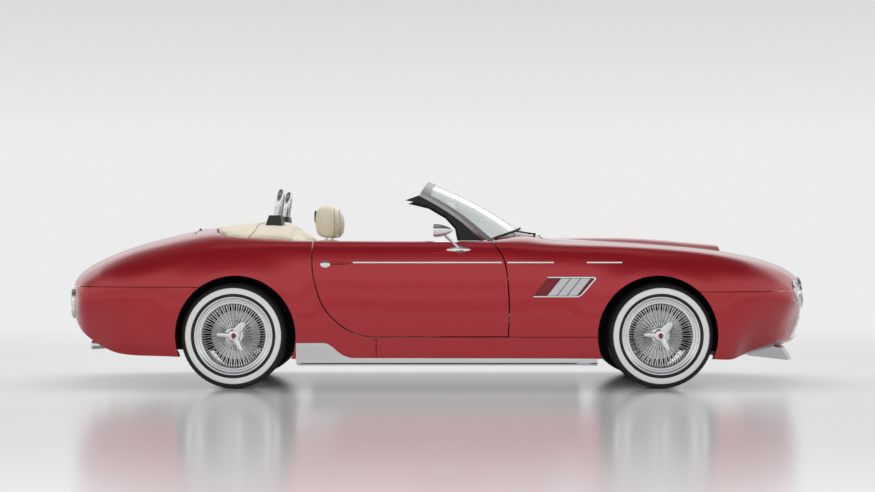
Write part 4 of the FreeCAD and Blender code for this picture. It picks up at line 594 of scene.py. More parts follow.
class ROADSTER_OT_wheels(bpy.types.Operator):
    """Wire wheels with crossed spokes, knock-off nuts, brake discs and white-banded tyres"""

    bl_idname = "roadster.wheels"
    bl_label = "Wheels and Tyres"

    def execute(self, context):
        wheels = context.scene.roadster_wheels
        tyre = tyre_part(wheels)
        band = whitewall_part(wheels)
        rim = rim_part()
        hub = turned(HUB_LINE, 96, False)
        disc = turned(DISC_LINE, 96)
        cap = turned(CAP_LINE, 64, False)
        badge = turned(BADGE_LINE, 48, False)
        spokes = [part for row in (0, 1) for part in spoke_part(wheels, row)]
        for corner in CORNERS:
            body = "wheel_" + corner
            carcass = piece("carcass_" + corner, [on_corner(tyre, corner)], "tyre", body, 50)
            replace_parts(carcass, "tyre_" + corner)
            piece("whitewall_" + corner, [on_corner(band, corner)], "whitewall", body, 50)
            ring = piece("rim_" + corner, [on_corner(rim, corner)], "chrome", body, 40)
            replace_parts(ring, "wheel_" + corner)
            piece("spokes_" + corner, [on_corner(s, corner) for s in spokes], "spoke_steel", body,
                  40)
            piece("hub_" + corner, [on_corner(hub, corner)], "chrome", body, 40)
            piece("brake_disc_" + corner, [on_corner(disc, corner)], "silver", body, 40)
            ears = [on_corner(ear_part(angle, breadth), corner) for angle, breadth in EARS]
            piece("wheel_nut_" + corner, [on_corner(cap, corner)] + ears, "chrome", body, 50)
            piece("nut_centre_" + corner, [on_corner(badge, corner)], "hub_red", body, 50)
        return {"FINISHED"}


# Padded leather


def points_of(mesh):
    """The mesh's points as an array of (count, 3)."""
    out = np.empty(len(mesh.vertices) * 3)
    mesh.vertices.foreach_get("co", out)
    return out.reshape(-1, 3)


def normals_of(mesh):
    out = np.empty(len(mesh.vertices) * 3)
    mesh.vertex_normals.foreach_get("vector", out)
    return out.reshape(-1, 3)


def set_points(mesh, points):
    mesh.vertices.foreach_set("co", np.asarray(points, float).ravel())
    mesh.update()


def baked(obj):
    """Writes the object's modifiers into its mesh."""
    graph = bpy.context.evaluated_depsgraph_get()
    mesh = bpy.data.meshes.new_from_object(obj.evaluated_get(graph), depsgraph=graph)
    obj.modifiers.clear()
    old = obj.data
    obj.data = mesh
    bpy.data.meshes.remove(old)
    return obj


def inflate(obj, cap, pressure=4.0):
    """A short cloth pass: a point p moves to p + d min(1, cap / |d|), d being the cloth's own way."""
    scene = bpy.context.scene
    before = points_of(obj.data)
    cloth = obj.modifiers.new("padding", "CLOTH")
    settings = cloth.settings
    settings.quality = 4
    settings.use_pressure = True
    settings.uniform_pressure_force = pressure
    settings.effector_weights.gravity = 0
    settings.tension_stiffness = 12
    settings.compression_stiffness = 12
    settings.bending_stiffness = 0.6
    cloth.collision_settings.use_collision = False
    for number in range(1, 21):
        scene.frame_set(number)
    graph = bpy.context.evaluated_depsgraph_get()
    after = points_of(obj.evaluated_get(graph).data)
    obj.modifiers.clear()
    scene.frame_set(1)
    way = after - before
    length = np.linalg.norm(way, axis=1, keepdims=True)
    way *= np.minimum(1.0, cap / np.maximum(length, 1e-9))
    set_points(obj.data, before + way)


def groove(points, line, width, depth):
    """Depth of a soft channel at each point: depth exp(-(d / width)^2), d to the nearest line segment."""
    line = np.asarray(line, float)
    best = np.full(len(points), 1e9)
    for a, b in zip(line[:-1], line[1:]):
        along = b - a
        t = np.clip((points - a) @ along / max(along @ along, 1e-12), 0, 1)
        best = np.minimum(best, np.linalg.norm(points - a - t[:, None] * along, axis=1))
    return depth * np.exp(-(best / width) ** 2)


def padded_piece(name, part, voxel, cap, material, body, channels=()):
    """A leather pad: even mesh, cloth pass, one subdivision, then its sewn channels pressed in."""
    obj = piece(name, [part], material, body)
    even = obj.modifiers.new("even", "REMESH")
    even.mode = "VOXEL"
    even.voxel_size = voxel
    baked(obj)
    inflate(obj, cap)
    finer = obj.modifiers.new("finer", "SUBSURF")
    finer.levels = 1
    finer.render_levels = 1
    baked(obj)
    points, normals = points_of(obj.data), normals_of(obj.data)
    for line, width, depth in channels:
        points = points - normals * groove(points, line, width, depth)[:, None]
    set_points(obj.data, points)
    obj.data.shade_smooth()
    return obj


def on_surface(obj, line, lift):
    """The line laid on the object's surface, lifted along its normals."""
    placed = []
    for point in np.asarray(line, float):
        found, location, normal, _ = obj.closest_point_on_mesh(Vector(point))
        placed.append(location + normal * lift if found else Vector(point))
    return np.array([tuple(p) for p in placed])


def seam(name, obj, line, body, radius=0.0022, closed=False, material="piping"):
    """A sewn cord that lies along a line on a padded piece."""
    path = on_surface(obj, smooth_line(line, max(30, 8 * len(line))), radius * 0.35)
    if closed:
        path = path[:-1]
    return piece(name, [tube(path, radius, 8, (0.3, 0.9, 0.25), closed)], material, body,
                 60)


def rounded_sections(levels, front, rear, half, power, columns=56):
    """Rings between front and rear lines at each level: a superellipse, closed at both ends.

    A ring is (middle + reach sgn(cos a) |cos a|^power, half sgn(sin a) |sin a|^power).
    """
    a = np.linspace(0, 2 * np.pi, columns, endpoint=False)[None]
    c = np.sign(np.cos(a)) * np.abs(np.cos(a)) ** power
    s = np.sign(np.sin(a)) * np.abs(np.sin(a)) ** power
    middle = ((front + rear) / 2)[:, None]
    reach = ((front - rear) / 2)[:, None]
    along = middle + reach * c
    across = half[:, None] * s
    level = np.broadcast_to(levels[:, None], along.shape)
    return along, across, level, c


def soft_step(t):
    t = np.clip(t, 0, 1)
    return t * t * (3 - 2 * t)


BACK_LEVELS = [0.276, 0.330, 0.400, 0.440, 0.500, 0.560, 0.640, 0.720, 0.800, 0.860, 0.905, 0.930, 0.943]
BACK_FRONT = [-0.484, -0.474, -0.462, -0.442, -0.458, -0.486, -0.520, -0.556, -0.592, -0.620, -0.648,
              -0.676, -0.705]
BACK_REAR = [-0.556, -0.570, -0.600, -0.616, -0.640, -0.664, -0.696, -0.730, -0.766, -0.792, -0.798,
             -0.785, -0.755]
BACK_HALF = [0.190, 0.205, 0.214, 0.218, 0.219, 0.219, 0.217, 0.212, 0.204, 0.194, 0.178, 0.158, 0.120]
CUSHION_STATIONS = [-0.470, -0.455, -0.420, -0.360, -0.280, -0.180, -0.080, -0.020, 0.010, 0.026, 0.032]
CUSHION_TOP = [0.360, 0.376, 0.388, 0.394, 0.400, 0.405, 0.408, 0.404, 0.396, 0.378, 0.350]
REST_LEVELS = [0.951, 0.962, 0.988, 1.020, 1.050, 1.080, 1.108, 1.130, 1.146, 1.155, 1.159]
REST_FRONT = [-0.690, -0.660, -0.645, -0.638, -0.637, -0.641, -0.650, -0.662, -0.678, -0.695, -0.714]
REST_REAR = [-0.735, -0.768, -0.785, -0.791, -0.793, -0.792, -0.788, -0.779, -0.766, -0.750, -0.732]
REST_HALF = [0.078, 0.102, 0.115, 0.120, 0.123, 0.123, 0.120, 0.113, 0.100, 0.083, 0.055]


def seat_back_part():
    """The backrest: rings up its height with the middle of its front set back between side bolsters."""
    z, front, rear, half = (np.array(v) for v in (BACK_LEVELS, BACK_FRONT, BACK_REAR, BACK_HALF))
    x, y, level, c = rounded_sections(z, front, rear, half, 0.5)
    inner = (1 - soft_step((np.abs(y) - 0.115) / 0.055)) * (c > 0) * soft_step((level - 0.40) / 0.10)
    x = x - 0.020 * inner * (1 - soft_step((level - 0.86) / 0.06))
    return sheet_part(closed_ends(np.stack([x, y + SEAT_Y, level], -1)), False, True)


def seat_cushion_part():
    """The cushion: rings along its length, flat below, with side bolsters over a lower middle."""
    x, top = np.array(CUSHION_STATIONS), np.array(CUSHION_TOP)
    half = np.array([0.190, 0.205, 0.214, 0.217, 0.218, 0.218, 0.216, 0.212, 0.205, 0.194, 0.176])
    z, y, along, c = rounded_sections(x, top, np.full(len(x), 0.276), half, 0.5)
    inner = (1 - soft_step((np.abs(y) - 0.115) / 0.055)) * (c > 0)
    z = z - 0.020 * inner * (1 - soft_step((along + 0.06) / 0.07))
    return sheet_part(closed_ends(np.stack([along, y + SEAT_Y, z], -1)), False, True)


def head_restraint_part():
    z, front, rear, half = (np.array(v) for v in (REST_LEVELS, REST_FRONT, REST_REAR, REST_HALF))
    x, y, level, _ = rounded_sections(z, front, rear, half, 0.72, 48)
    return sheet_part(closed_ends(np.stack([x, y + SEAT_Y, level], -1)), False, True)


def mirrored_copy(obj, name, body):
    """The same piece on the car's other side, as a mesh of its own."""
    mesh = obj.data.copy()
    points = points_of(mesh)
    points[:, 1] *= -1
    set_points(mesh, points)
    mesh.flip_normals()
    other = bpy.data.objects.new(name, mesh)
    bpy.context.scene.collection.objects.link(other)
    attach(other, body)
    return other


def merged_copy(node, shrink):
    """A merged copy of a CAD node's mesh as (points, faces), drawn in along its normals."""
    mesh = NODES[node].data.copy()
    weld(mesh, 1e-5)
    points = points_of(mesh) - normals_of(mesh) * shrink
    faces = [list(polygon.vertices) for polygon in mesh.polygons]
    bpy.data.meshes.remove(mesh)
    return points, faces


DECK_SEAM = [(-1.205, 0.715, 0.925), (-1.190, 0.700, 0.960), (-1.168, 0.660, 0.992), (-1.156, 0.560, 1.020),
             (-1.150, 0.400, 1.040), (-1.148, 0.200, 1.050), (-1.148, 0.0, 1.053)]
DECK_FOLD = [(-0.905, 0.715, 0.935), (-0.906, 0.600, 0.985), (-0.908, 0.400, 1.006), (-0.908, 0.200, 1.012),
             (-0.908, 0.0, 1.014)]


SEAT_BOLSTER = [(-0.440, 0.135, 0.43), (-0.478, 0.140, 0.56), (-0.554, 0.138, 0.72), (-0.612, 0.130, 0.85),
                (-0.640, 0.100, 0.885), (-0.648, 0.0, 0.892)]
CUSHION_EDGE = [(-0.445, 0.135, 0.390), (-0.25, 0.138, 0.400), (-0.07, 0.130, 0.405), (-0.035, 0.090, 0.404),
                (-0.028, 0.0, 0.403)]
REST_SEAM = [(-0.668, 0.0, 1.150), (-0.664, 0.070, 1.138), (-0.658, 0.112, 1.095), (-0.655, 0.118, 1.045),
             (-0.662, 0.100, 0.985), (-0.675, 0.0, 0.960)]
BACK_PLEAT = [(-0.470, 0.44), (-0.560, 0.66), (-0.640, 0.865)]
CUSHION_PLEAT = [(-0.44, 0.38), (-0.20, 0.39), (-0.045, 0.40)]
PLEAT_YS = (-0.078, -0.026, 0.026, 0.078)
POST_Y = 0.06
POST_LINE = [(-0.722, 0.925), (-0.722, 0.945), (-0.722, 0.985)]


def both_ways(line, middle=0.0):
    """A line given by its distance out from a middle plane, carried on to that plane's other side."""
    return [(x, middle + y, z) for x, y, z in line] + [(x, middle - y, z) for x, y, z in reversed(line[:-1])]


def pleats(line):
    """The sewn pleats of the left seat along a line of (x, z), as grooves of width and depth 6 mm."""
    return [([(x, SEAT_Y + y, z) for x, z in line], 0.006, 0.006) for y in PLEAT_YS]


class ROADSTER_OT_seats(bpy.types.Operator):
    """Padded seats, head restraints and the padded rear deck"""

    bl_idname = "roadster.seats"
    bl_label = "Seats and Rear Deck"

    def execute(self, context):
        cabin = context.scene.roadster_cabin
        fine = cabin.voxel
        swell = cabin.padding_swell
        rim = both_ways(SEAT_BOLSTER, SEAT_Y)
        back = padded_piece("seat_back_left", seat_back_part(), fine, swell, "leather", "chassis",
                            pleats(BACK_PLEAT) + [(rim, 0.007, 0.006)])
        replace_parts(back, "seat_backs")
        tray = both_ways(CUSHION_EDGE, SEAT_Y)
        cushion = padded_piece("seat_cushion_left", seat_cushion_part(), fine, swell, "leather", "chassis",
                               pleats(CUSHION_PLEAT) + [(tray, 0.007, 0.006)])
        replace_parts(cushion, "seat_cushions")
        loop = both_ways(REST_SEAM, SEAT_Y)
        rest = padded_piece("head_restraint_left", head_restraint_part(), fine * 0.8, swell * 0.6, "leather",
                            "chassis", [(loop, 0.004, 0.004)])
        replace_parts(rest, "head_restraints")
        for obj, name, node in ((back, "seat_back_right", "seat_backs"),
                                (cushion, "seat_cushion_right", "seat_cushions"),
                                (rest, "head_restraint_right", "head_restraints")):
            other = mirrored_copy(obj, name, "chassis")
            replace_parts(other, node)
        for name, obj, line in (("seat_back_piping", back, rim), ("cushion_piping", cushion, tray),
                                ("restraint_piping", rest, loop)):
            cord = seam(name + "_left", obj, line, "chassis")
            mirrored_copy(cord, name + "_right", "chassis")
        posts = []
        plates = []
        for y in (-SEAT_Y, SEAT_Y):
            for post_y in (y - POST_Y, y + POST_Y):
                posts.append(tube([(x, post_y, z) for x, z in POST_LINE], 0.0068, 16, (1.0, 0.0, 0.0)))
            plates.append(profile_block(oval(0.046, 0.040, 32, (y, 1.086)), -0.7985, -0.786, "x", 0.003))
        piece("restraint_posts", posts, "chrome", "chassis")
        piece("restraint_inserts", plates, "plastic", "chassis")
        deck = padded_piece("padded_deck", merged_copy("rear_deck", 0.006), 2 * fine, 0.006, "leather",
                            "chassis",
                            [(both_ways(DECK_SEAM), 0.008, 0.006), (both_ways(DECK_FOLD), 0.016, 0.013)])
        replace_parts(deck, "rear_deck")
        seam("deck_piping", deck, both_ways(DECK_SEAM), "chassis", 0.0028)
        return {"FINISHED"}


# Body and finishes

FINISH_OF_NODE = {
    "paint": ("bonnet", "boot_lid", "door_left", "door_right", "front_wings", "rear_quarters", "nose_cover",
              "tail_cover", "sill_panels"),
    "chrome": ("grille", "lower_grille", "lamp_bezels", "mirror_left", "mirror_right", "roll_hoops"),
    "silver": ("side_vents", "sill_trims"),
    "bright": ("door_trim_left", "door_trim_right", "wing_strips"),
    "brushed": ("windscreen_frame", "exhaust", "splitter"),
    "steel": ("front_axle", "rear_axle", "knuckle_left", "knuckle_right", "door_hinges"),
    "cast": ("engine",),
    "structure": ("tub",),
    "liner": ("arch_liners",),
    "rubber": ("windscreen_seals", "wipers"),
    "plastic": ("hoop_bases", "seat_bases", "radiator", "console", "steering_wheel"),
    "dark_leather": ("dashboard",),
    "glass": ("windscreen_glass",),
    "lamp_glass": ("headlamps",),
    "red_lens": ("tail_lamps",),
    "leather": ("seat_cushions", "seat_backs", "head_restraints", "rear_deck"),
    "tyre": ("tyre_front_left", "tyre_front_right", "tyre_rear_left", "tyre_rear_right"),
    "spoke_steel": ("wheel_front_left", "wheel_front_right", "wheel_rear_left", "wheel_rear_right"),
}


class ROADSTER_OT_bodywork(bpy.types.Operator):
    """Finishes for every carried-over node of the frame"""

    bl_idname = "roadster.bodywork"
    bl_label = "Bodywork Finishes"

    def execute(self, context):
        make_materials(context.scene.roadster_finishes)
        for finish, names in FINISH_OF_NODE.items():
            for name in names:
                for slot in NODES[name].material_slots:
                    slot.link = "OBJECT"
                    slot.material = MATERIALS[finish]
        return {"FINISHED"}


# Windscreen and lamps

SCREEN_BASE = (0.561, 0.985)
SCREEN_FOOT = (0.318, 0.716, 0.908)
SCREEN_TOP = (-0.062, 1.312)
HEADER_END = (-0.112, 0.600, 1.226)
SCREEN_BOW = 0.026
PILLAR_SHARE = 0.93
SILL_RAIL = 0.05
HEADER_RAIL = 0.925
GLASS_HALF = 0.003
GLASS_EDGE = 0.0006
LAMP_CENTRE = (0.458, 0.604)
LAMP_LENS_RADIUS = 0.0574
LAMP_STEPS = 48
LAMP_COVER_THICKNESS = 0.0035
LAMP_RINGS = ((0.026, 0.010, 0.0032), (0.047, 0.014, 0.0018))
LAMP_BULB = [(0.0, 0.014), (0.008, 0.013), (0.016, 0.009), (0.0215, 0.002), (0.0215, -0.006), (0.0, -0.006)]


def tree_of(node):
    """A search tree over a CAD node's own faces."""
    mesh = NODES[node].data
    return BVHTree.FromPolygons([v.co for v in mesh.vertices], [p.vertices for p in mesh.polygons])


def screen_points(u, v):
    """Middle of the screen: straight from a curved base line to a curved header, bowed outwards."""
    base = [SCREEN_BASE[0] - (SCREEN_BASE[0] - SCREEN_FOOT[0]) * abs(u) ** 2.2, u * SCREEN_FOOT[1],
            SCREEN_BASE[1] - (SCREEN_BASE[1] - SCREEN_FOOT[2]) * abs(u) ** 2.0]
    head = [SCREEN_TOP[0] - (SCREEN_TOP[0] - HEADER_END[0]) * abs(u) ** 2.2, u * HEADER_END[1],
            SCREEN_TOP[1] - (SCREEN_TOP[1] - HEADER_END[2]) * abs(u) ** 2.4]
    bow = SCREEN_BOW * np.sin(np.pi * v)
    x, y, z = (a * (1 - v) + b * v for a, b in zip(base, head))
    return np.stack([x + 0.46 * bow, y, z + 0.89 * bow], -1)


def add_screen_glass():
    """The curved glass: one fine grid moved half its thickness each way along its normal."""
    u = np.linspace(GLASS_EDGE - PILLAR_SHARE, PILLAR_SHARE - GLASS_EDGE, 97)[:, None]
    v = np.linspace(SILL_RAIL + GLASS_EDGE, HEADER_RAIL - GLASS_EDGE, 33)[None]
    middle = screen_points(u, v)
    normal = np.cross(np.gradient(middle, axis=1), np.gradient(middle, axis=0))
    normal /= np.linalg.norm(normal, axis=-1, keepdims=True)
    sheet = closed_shell(middle + GLASS_HALF * normal, middle - GLASS_HALF * normal)
    glass = piece("screen_glass", [sheet], "glass", "chassis", 40)
    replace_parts(glass, "windscreen_glass")


def lamp_face(side):
    """Grids of the headlamp's front over polar (radius share, angle), read off the body's own face."""
    shares = np.linspace(0.02, 1.0, 9)[:, None]
    angles = np.linspace(0, 2 * np.pi, LAMP_STEPS, endpoint=False)
    y = side * LAMP_CENTRE[0] + shares * LAMP_LENS_RADIUS * np.cos(angles)
    z = LAMP_CENTRE[1] + shares * LAMP_LENS_RADIUS * np.sin(angles)
    tree = tree_of("headlamps")
    front = [tree.ray_cast(Vector((3.0, b, c)), Vector((-1, 0, 0)))[0][0] for b, c in zip(y.flat, z.flat)]
    return np.array(front).reshape(y.shape), y, z, shares


def dish_part(front, back):
    """A closed dish between two polar grids (ring, angle) that share their outer edge's direction."""
    return sheet_part(closed_ends(np.concatenate([front, back[::-1]])), False, True)


def add_headlamp(side, word):
    """A cover in the wing's own lean, a bowl of depth d0 + d1 (1 - share^2), rings and a bulb."""
    x, y, z, share = lamp_face(side)

    def behind(depth):
        return np.stack([x - depth, y, z], -1)

    dish = dish_part(behind(0.0), behind(LAMP_COVER_THICKNESS))
    cover = piece("lamp_cover_" + word, [dish], "lamp_glass", "chassis", 60)
    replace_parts(cover, "headlamps")
    depth = 0.008 + 0.028 * (1 - share ** 2)
    bowl = dish_part(behind(depth), behind(depth + 0.002))
    piece("lamp_bowl_" + word, [bowl], "chrome", "chassis", 60)
    middle = np.array([x[0].mean() - 0.030, side * LAMP_CENTRE[0], LAMP_CENTRE[1]])
    half, quarter = LAMP_STEPS // 2, LAMP_STEPS // 4
    lean_y = (x[-1, 0] - x[-1, half]) / (y[-1, 0] - y[-1, half])
    lean_z = (x[-1, quarter] - x[-1, half + quarter]) / (z[-1, quarter] - z[-1, half + quarter])
    a = np.linspace(0, 2 * np.pi, LAMP_STEPS, endpoint=False)
    rings = []
    for radius, forward, thick in LAMP_RINGS:
        across, up = radius * np.cos(a), radius * np.sin(a)
        path = middle + np.stack([forward + lean_y * across + lean_z * up, across, up], -1)
        rings.append(tube(path, thick, 8, (1.0, 0.0, 0.0), True))
    piece("lamp_rings_" + word, rings, "silver", "chassis", 60)
    points, faces = turned(LAMP_BULB, 32, False)
    points = points[:, [1, 0, 2]] + middle + [0.006, 0, 0]
    piece("lamp_lens_" + word, [(points, faces)], "lamp_glass", "chassis", 60)


# Side trim

SKIN_NODES = ("front_wings", "rear_quarters", "sill_panels", "door_left", "door_right")
OUTWARDS = (0.0, 1.0, 0.0)
STRIP_Z = 0.793
STRIP_HALF_HEIGHT = 0.0058
STRIP_RISE = 0.0032
DOOR_STRIP_X = (-0.529, 0.402)
WING_STRIPS_X = ((0.438, 0.729), (0.935, 1.156))
LOCK_PLACE = (-0.703, 0.781)
LOCK_LINE = [(0.0, 0.0095), (0.007, 0.0092), (0.008, 0.0075), (0.010, 0.0075), (0.0115, 0.0092),
             (0.021, 0.0078), (0.0255, 0.0052), (0.0270, 0.0015), (0.0270, -0.0030), (0.0, -0.0030)]
HANDLE_X = (-0.668, -0.545)
HANDLE_Z = 0.7925
MIRROR_FOOT_PLACE = (0.132, 0.8735)
MIRROR_FOOT_LINE = [(0.0, 0.0165), (0.25, 0.0160), (0.6, 0.0125), (0.85, 0.0070), (0.97, 0.0020),
                    (1.0, -0.004), (0.0, -0.004)]
SILL_TOP = [(-0.884, 0.290), (-0.710, 0.290), (-0.690, 0.286), (-0.666, 0.272), (-0.628, 0.238),
            (-0.590, 0.211), (-0.540, 0.196), (1.000, 0.193)]
SILL_BOTTOM = [(-0.884, 0.170), (-0.879, 0.157), (-0.866, 0.149), (1.000, 0.149)]
SILL_SECTION = np.array([(0.1490, 0.0000), (0.1500, 0.0030), (0.1530, 0.0045), (0.1560, 0.0045),
                         (0.1580, 0.0030), (0.1595, 0.0010), (0.1625, 0.0010), (0.1640, 0.0032),
                         (0.1680, 0.0036)])
SILL_SHARES = np.array([(0.25, 0.0036), (0.5, 0.0036), (0.75, 0.0036), (0.93, 0.0034), (0.985, 0.0024),
                        (1.0, 0.0005)])
SILL_SHOULDER = 0.168
VENT_LOW = 0.566
VENT_HIGH = 0.712
FIN_XS = (0.686, 0.749, 0.812)
FIN_WIDTH = 0.058
FIN_LEAN = 0.088
VENT_OUTLINE = [(0.600, 0.5795), (0.700, 0.5795), (0.800, 0.5795), (0.868, 0.5800), (0.894, 0.5870),
                (0.920, 0.6120), (0.960, 0.6590), (0.986, 0.6900), (0.978, 0.6985), (0.940, 0.6995),
                (0.840, 0.6995), (0.760, 0.6995), (0.688, 0.6995)]
VENT_RECESS = [(0.596, 0.581), (0.884, 0.581), (0.908, 0.591), (0.990, 0.694), (0.978, 0.698),
               (0.690, 0.698)]


class Skin:
    """The outer skin of one side of the car, read off the CAD panels by rays along Y."""

    def __init__(self, side, nodes=SKIN_NODES):
        self.side = side
        points, faces = [], []
        for node in nodes:
            mesh = NODES[node].data
            start = len(points)
            points += [v.co for v in mesh.vertices]
            faces += [[start + k for k in p.vertices] for p in mesh.polygons]
        self.tree = BVHTree.FromPolygons(points, faces)

    def out(self, x, z):
        """How far out the skin stands at each x, z."""
        x, z = np.broadcast_arrays(x, z)
        found = [self.tree.ray_cast(Vector((a, self.side * 1.3, b)), Vector((0, -self.side, 0)))[0]
                 for a, b in zip(x.flat, z.flat)]
        return np.array([self.side * p[1] if p else 0.85 for p in found]).reshape(x.shape)

    def at(self, x, y, z):
        """Points at a distance y out from the car's middle plane, on this side."""
        x, y, z = np.broadcast_arrays(x, y, z)
        return np.stack([x, self.side * y, z], -1)

    def place(self, x, z, lift):
        """Points that stand off the skin by lift."""
        return self.at(x, self.out(x, z) + lift, z)

    def chord(self, x, z):
        """How far out a flat panel would stand between the vent's lower and upper edges."""
        lower, upper = self.out(x, np.full(x.shape, VENT_LOW)), self.out(x, np.full(x.shape, VENT_HIGH))
        return lower + (upper - lower) * (z - VENT_LOW) / (VENT_HIGH - VENT_LOW)

    def seat(self, part, x, z):
        """A part made about the origin, facing +Y, turned to the skin's lean and set down at x, z."""
        low, high = self.out(np.array([x, x]), np.array([z - 0.02, z + 0.02]))
        lean = math.atan2(high - low, 0.04)
        points, faces = part
        y = points[:, 1] * math.cos(lean) + points[:, 2] * math.sin(lean)
        up = points[:, 2] * math.cos(lean) - points[:, 1] * math.sin(lean)
        return self.at(points[:, 0] + x, y + (low + high) / 2, up + z), faces


def strip_on(skin, x0, x1, count):
    """A half-round bead along the skin at the height of the strips."""
    x = np.linspace(x0, x1, count)
    path = skin.place(x, np.full(count, STRIP_Z), 0.0)
    return tube(path, STRIP_HALF_HEIGHT, 12, OUTWARDS, False, STRIP_RISE / STRIP_HALF_HEIGHT)


def sill_plate(skin):
    """The sill trim: rows of even height below, stretched to the top line above, with a groove."""
    x = np.concatenate([np.linspace(-0.884, -0.864, 7), np.linspace(-0.855, -0.52, 50),
                        np.linspace(-0.50, 1.0, 90)])
    top = np.interp(x, *np.array(SILL_TOP).T)
    bottom = np.interp(x, *np.array(SILL_BOTTOM).T)
    lower = np.maximum(SILL_SECTION[:, :1], bottom)
    upper = SILL_SHOULDER + (np.maximum(top, bottom) - SILL_SHOULDER) * SILL_SHARES[:, :1]
    z = np.concatenate([lower, upper])
    lift = np.concatenate([SILL_SECTION, SILL_SHARES])[:, 1:]
    out = skin.out(np.broadcast_to(x, z.shape), np.maximum(z, 0.205))
    for shift in (1, 2):
        out[:, shift:] = np.maximum(out[:, shift:], out[:, :-shift] - 0.002)
        out[:, :-shift] = np.maximum(out[:, :-shift], out[:, shift:] - 0.002)
    front, back = skin.at(x, out + lift, z), skin.at(x, out - 0.006, z)
    return closed_shell(front.swapaxes(0, 1), back.swapaxes(0, 1))


def vent_fin(skin, low_x):
    """One slanted louvre: across it the face sinks below the skin by 2.5 + 9 u^1.4 mm."""
    u = np.linspace(0, 1, 8)[None]
    v = np.linspace(0, 1, 10)[:, None]
    x = low_x + FIN_WIDTH * u + FIN_LEAN * v
    z = np.broadcast_to(0.584 + 0.1085 * v, x.shape)
    y = skin.chord(x, z) - 0.0025 - 0.0090 * u ** 1.4
    return closed_shell(skin.at(x, y, z), skin.at(x, y - 0.0035, z))


def door_fittings(skin, word):
    """Strip, lock, handle and mirror foot of one door."""
    body = "door_" + word
    strip = piece("door_strip_" + word, [strip_on(skin, *DOOR_STRIP_X, 60)], "bright", body, 60)
    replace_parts(strip, "door_trim_" + word)
    points, faces = turned(LOCK_LINE, 56, False)
    lock = skin.seat((points * [1.18, 1, 0.86], faces), *LOCK_PLACE)
    piece("door_lock_" + word, [lock], "chrome", body, 50)
    share = np.linspace(0, 1, 30)
    x = np.linspace(*HANDLE_X, 30)
    z = HANDLE_Z - 0.002 * share
    size = 0.0092 * np.sqrt(np.clip(1 - share ** 3, 0.02, 1)) * np.minimum(1, 0.6 + 8 * share)
    handle = tube(skin.place(x, z, 0.0012), size, 14, OUTWARDS, False, 0.55)
    piece("door_handle_" + word, [handle], "paint", body, 60)
    shadow = tube(skin.place(x, z - size - 0.0006, 0.0004), 0.0034, 8, OUTWARDS, False, 0.5)
    piece("handle_shadow_" + word, [shadow], "rubber", body, 60)
    points, faces = turned(MIRROR_FOOT_LINE, 64, False)
    foot = skin.seat((points * [0.078, 1, 0.0175], faces), *MIRROR_FOOT_PLACE)
    piece("mirror_foot_" + word, [foot], "bright", body, 60)


def side_trim(side, word):
    """Strips, sill plate and side vent of one side."""
    skin = Skin(side)
    door_fittings(skin, word)
    strips = [strip_on(skin, x0, x1, 24) for x0, x1 in WING_STRIPS_X]
    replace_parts(piece("wing_beads_" + word, strips, "bright", "chassis", 60), "wing_strips")
    plate = piece("sill_plate_" + word, [sill_plate(skin)], "silver", "chassis", 40)
    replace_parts(plate, "sill_trims")
    x = np.linspace(-0.855, 1.0, 100)
    dark = skin.place(x, np.full(100, 0.205), 0.0022)
    dark[:, 2] = 0.161
    piece("sill_line_" + word, [tube(dark, 0.0016, 6, OUTWARDS)], "rubber", "chassis", 60)
    wing = Skin(side, ("front_wings",))
    fins = [vent_fin(wing, low_x) for low_x in FIN_XS]
    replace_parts(piece("vent_fins_" + word, fins, "silver", "chassis", 40), "side_vents")
    x, z = smooth_line(VENT_OUTLINE, 110).T
    y = wing.chord(x, z)
    rims = [tube(wing.at(x, y - 0.001, z), 0.0062, 12, OUTWARDS),
            tube(wing.at(x, y - 0.012, z), 0.0045, 8, OUTWARDS, False, 3.0)]
    piece("vent_surround_" + word, rims, "bright", "chassis", 60)
    # The panel behind the fins is a darker copy of the lacquer: painted shade inside the vent
    inner = side * (float(wing.out(0.75, VENT_LOW)) - 0.034)
    recess = profile_block(VENT_RECESS, *sorted((inner, inner - side * 0.002)), "y")
    piece("vent_shade_panel_" + word, [recess], "paint_dark", "chassis")


# Mirrors, grille and exhaust

MIRROR_CENTRE = (0.938, 0.994)
GRILLE_HALF = (0.296, 0.088)
GRILLE_Z = 0.594
MOUTH = [(-0.340, 0.308), (0.340, 0.308), (0.340, 0.422), (-0.340, 0.422)]
PIPE_YS = (-0.390, -0.318, 0.318, 0.390)
PIPE_SLOPE = 0.0623
PIPE_END = (-2.243, 0.2545)
TIP_LINE = [(0.0265, 0.0), (0.0285, -0.004), (0.0288, -0.012), (0.0285, -0.110), (0.0276, -0.112),
            (0.0274, -0.060), (0.0255, -0.050), (0.0252, -0.006)]


def facing_back(profile, steps, place):
    """A profile of (radius, towards the rear) turned about X at a place, closed as a ring or a disc."""
    profile = np.array(profile, float)
    solid = profile[0, 0] == 0
    if solid:
        profile = np.concatenate([profile, [[0.0, profile[-1, 1]]]])
    points, faces = turned(profile * [1, -1], steps, not solid)
    return points[:, [1, 0, 2]] + np.array(place), faces


def grille_bar(z):
    """A fine cross wire that ends on the grille's oval: half = a sqrt(1 - (dz / b)^2)."""
    half = 0.290 * math.sqrt(max(0.02, 1 - ((z - GRILLE_Z) / GRILLE_HALF[1]) ** 2))
    return tube([(2.159, -half, z), (2.160, 0, z), (2.159, half, z)], 0.0018, 6)


def exhaust_tip(y):
    """A rolled tip on one pipe, sloped as the pipe is."""
    points, faces = facing_back(TIP_LINE, 48, (0.0, 0.0, 0.0))
    points[:, 2] += PIPE_SLOPE * points[:, 0]
    return points + [PIPE_END[0], y, PIPE_END[1]], faces


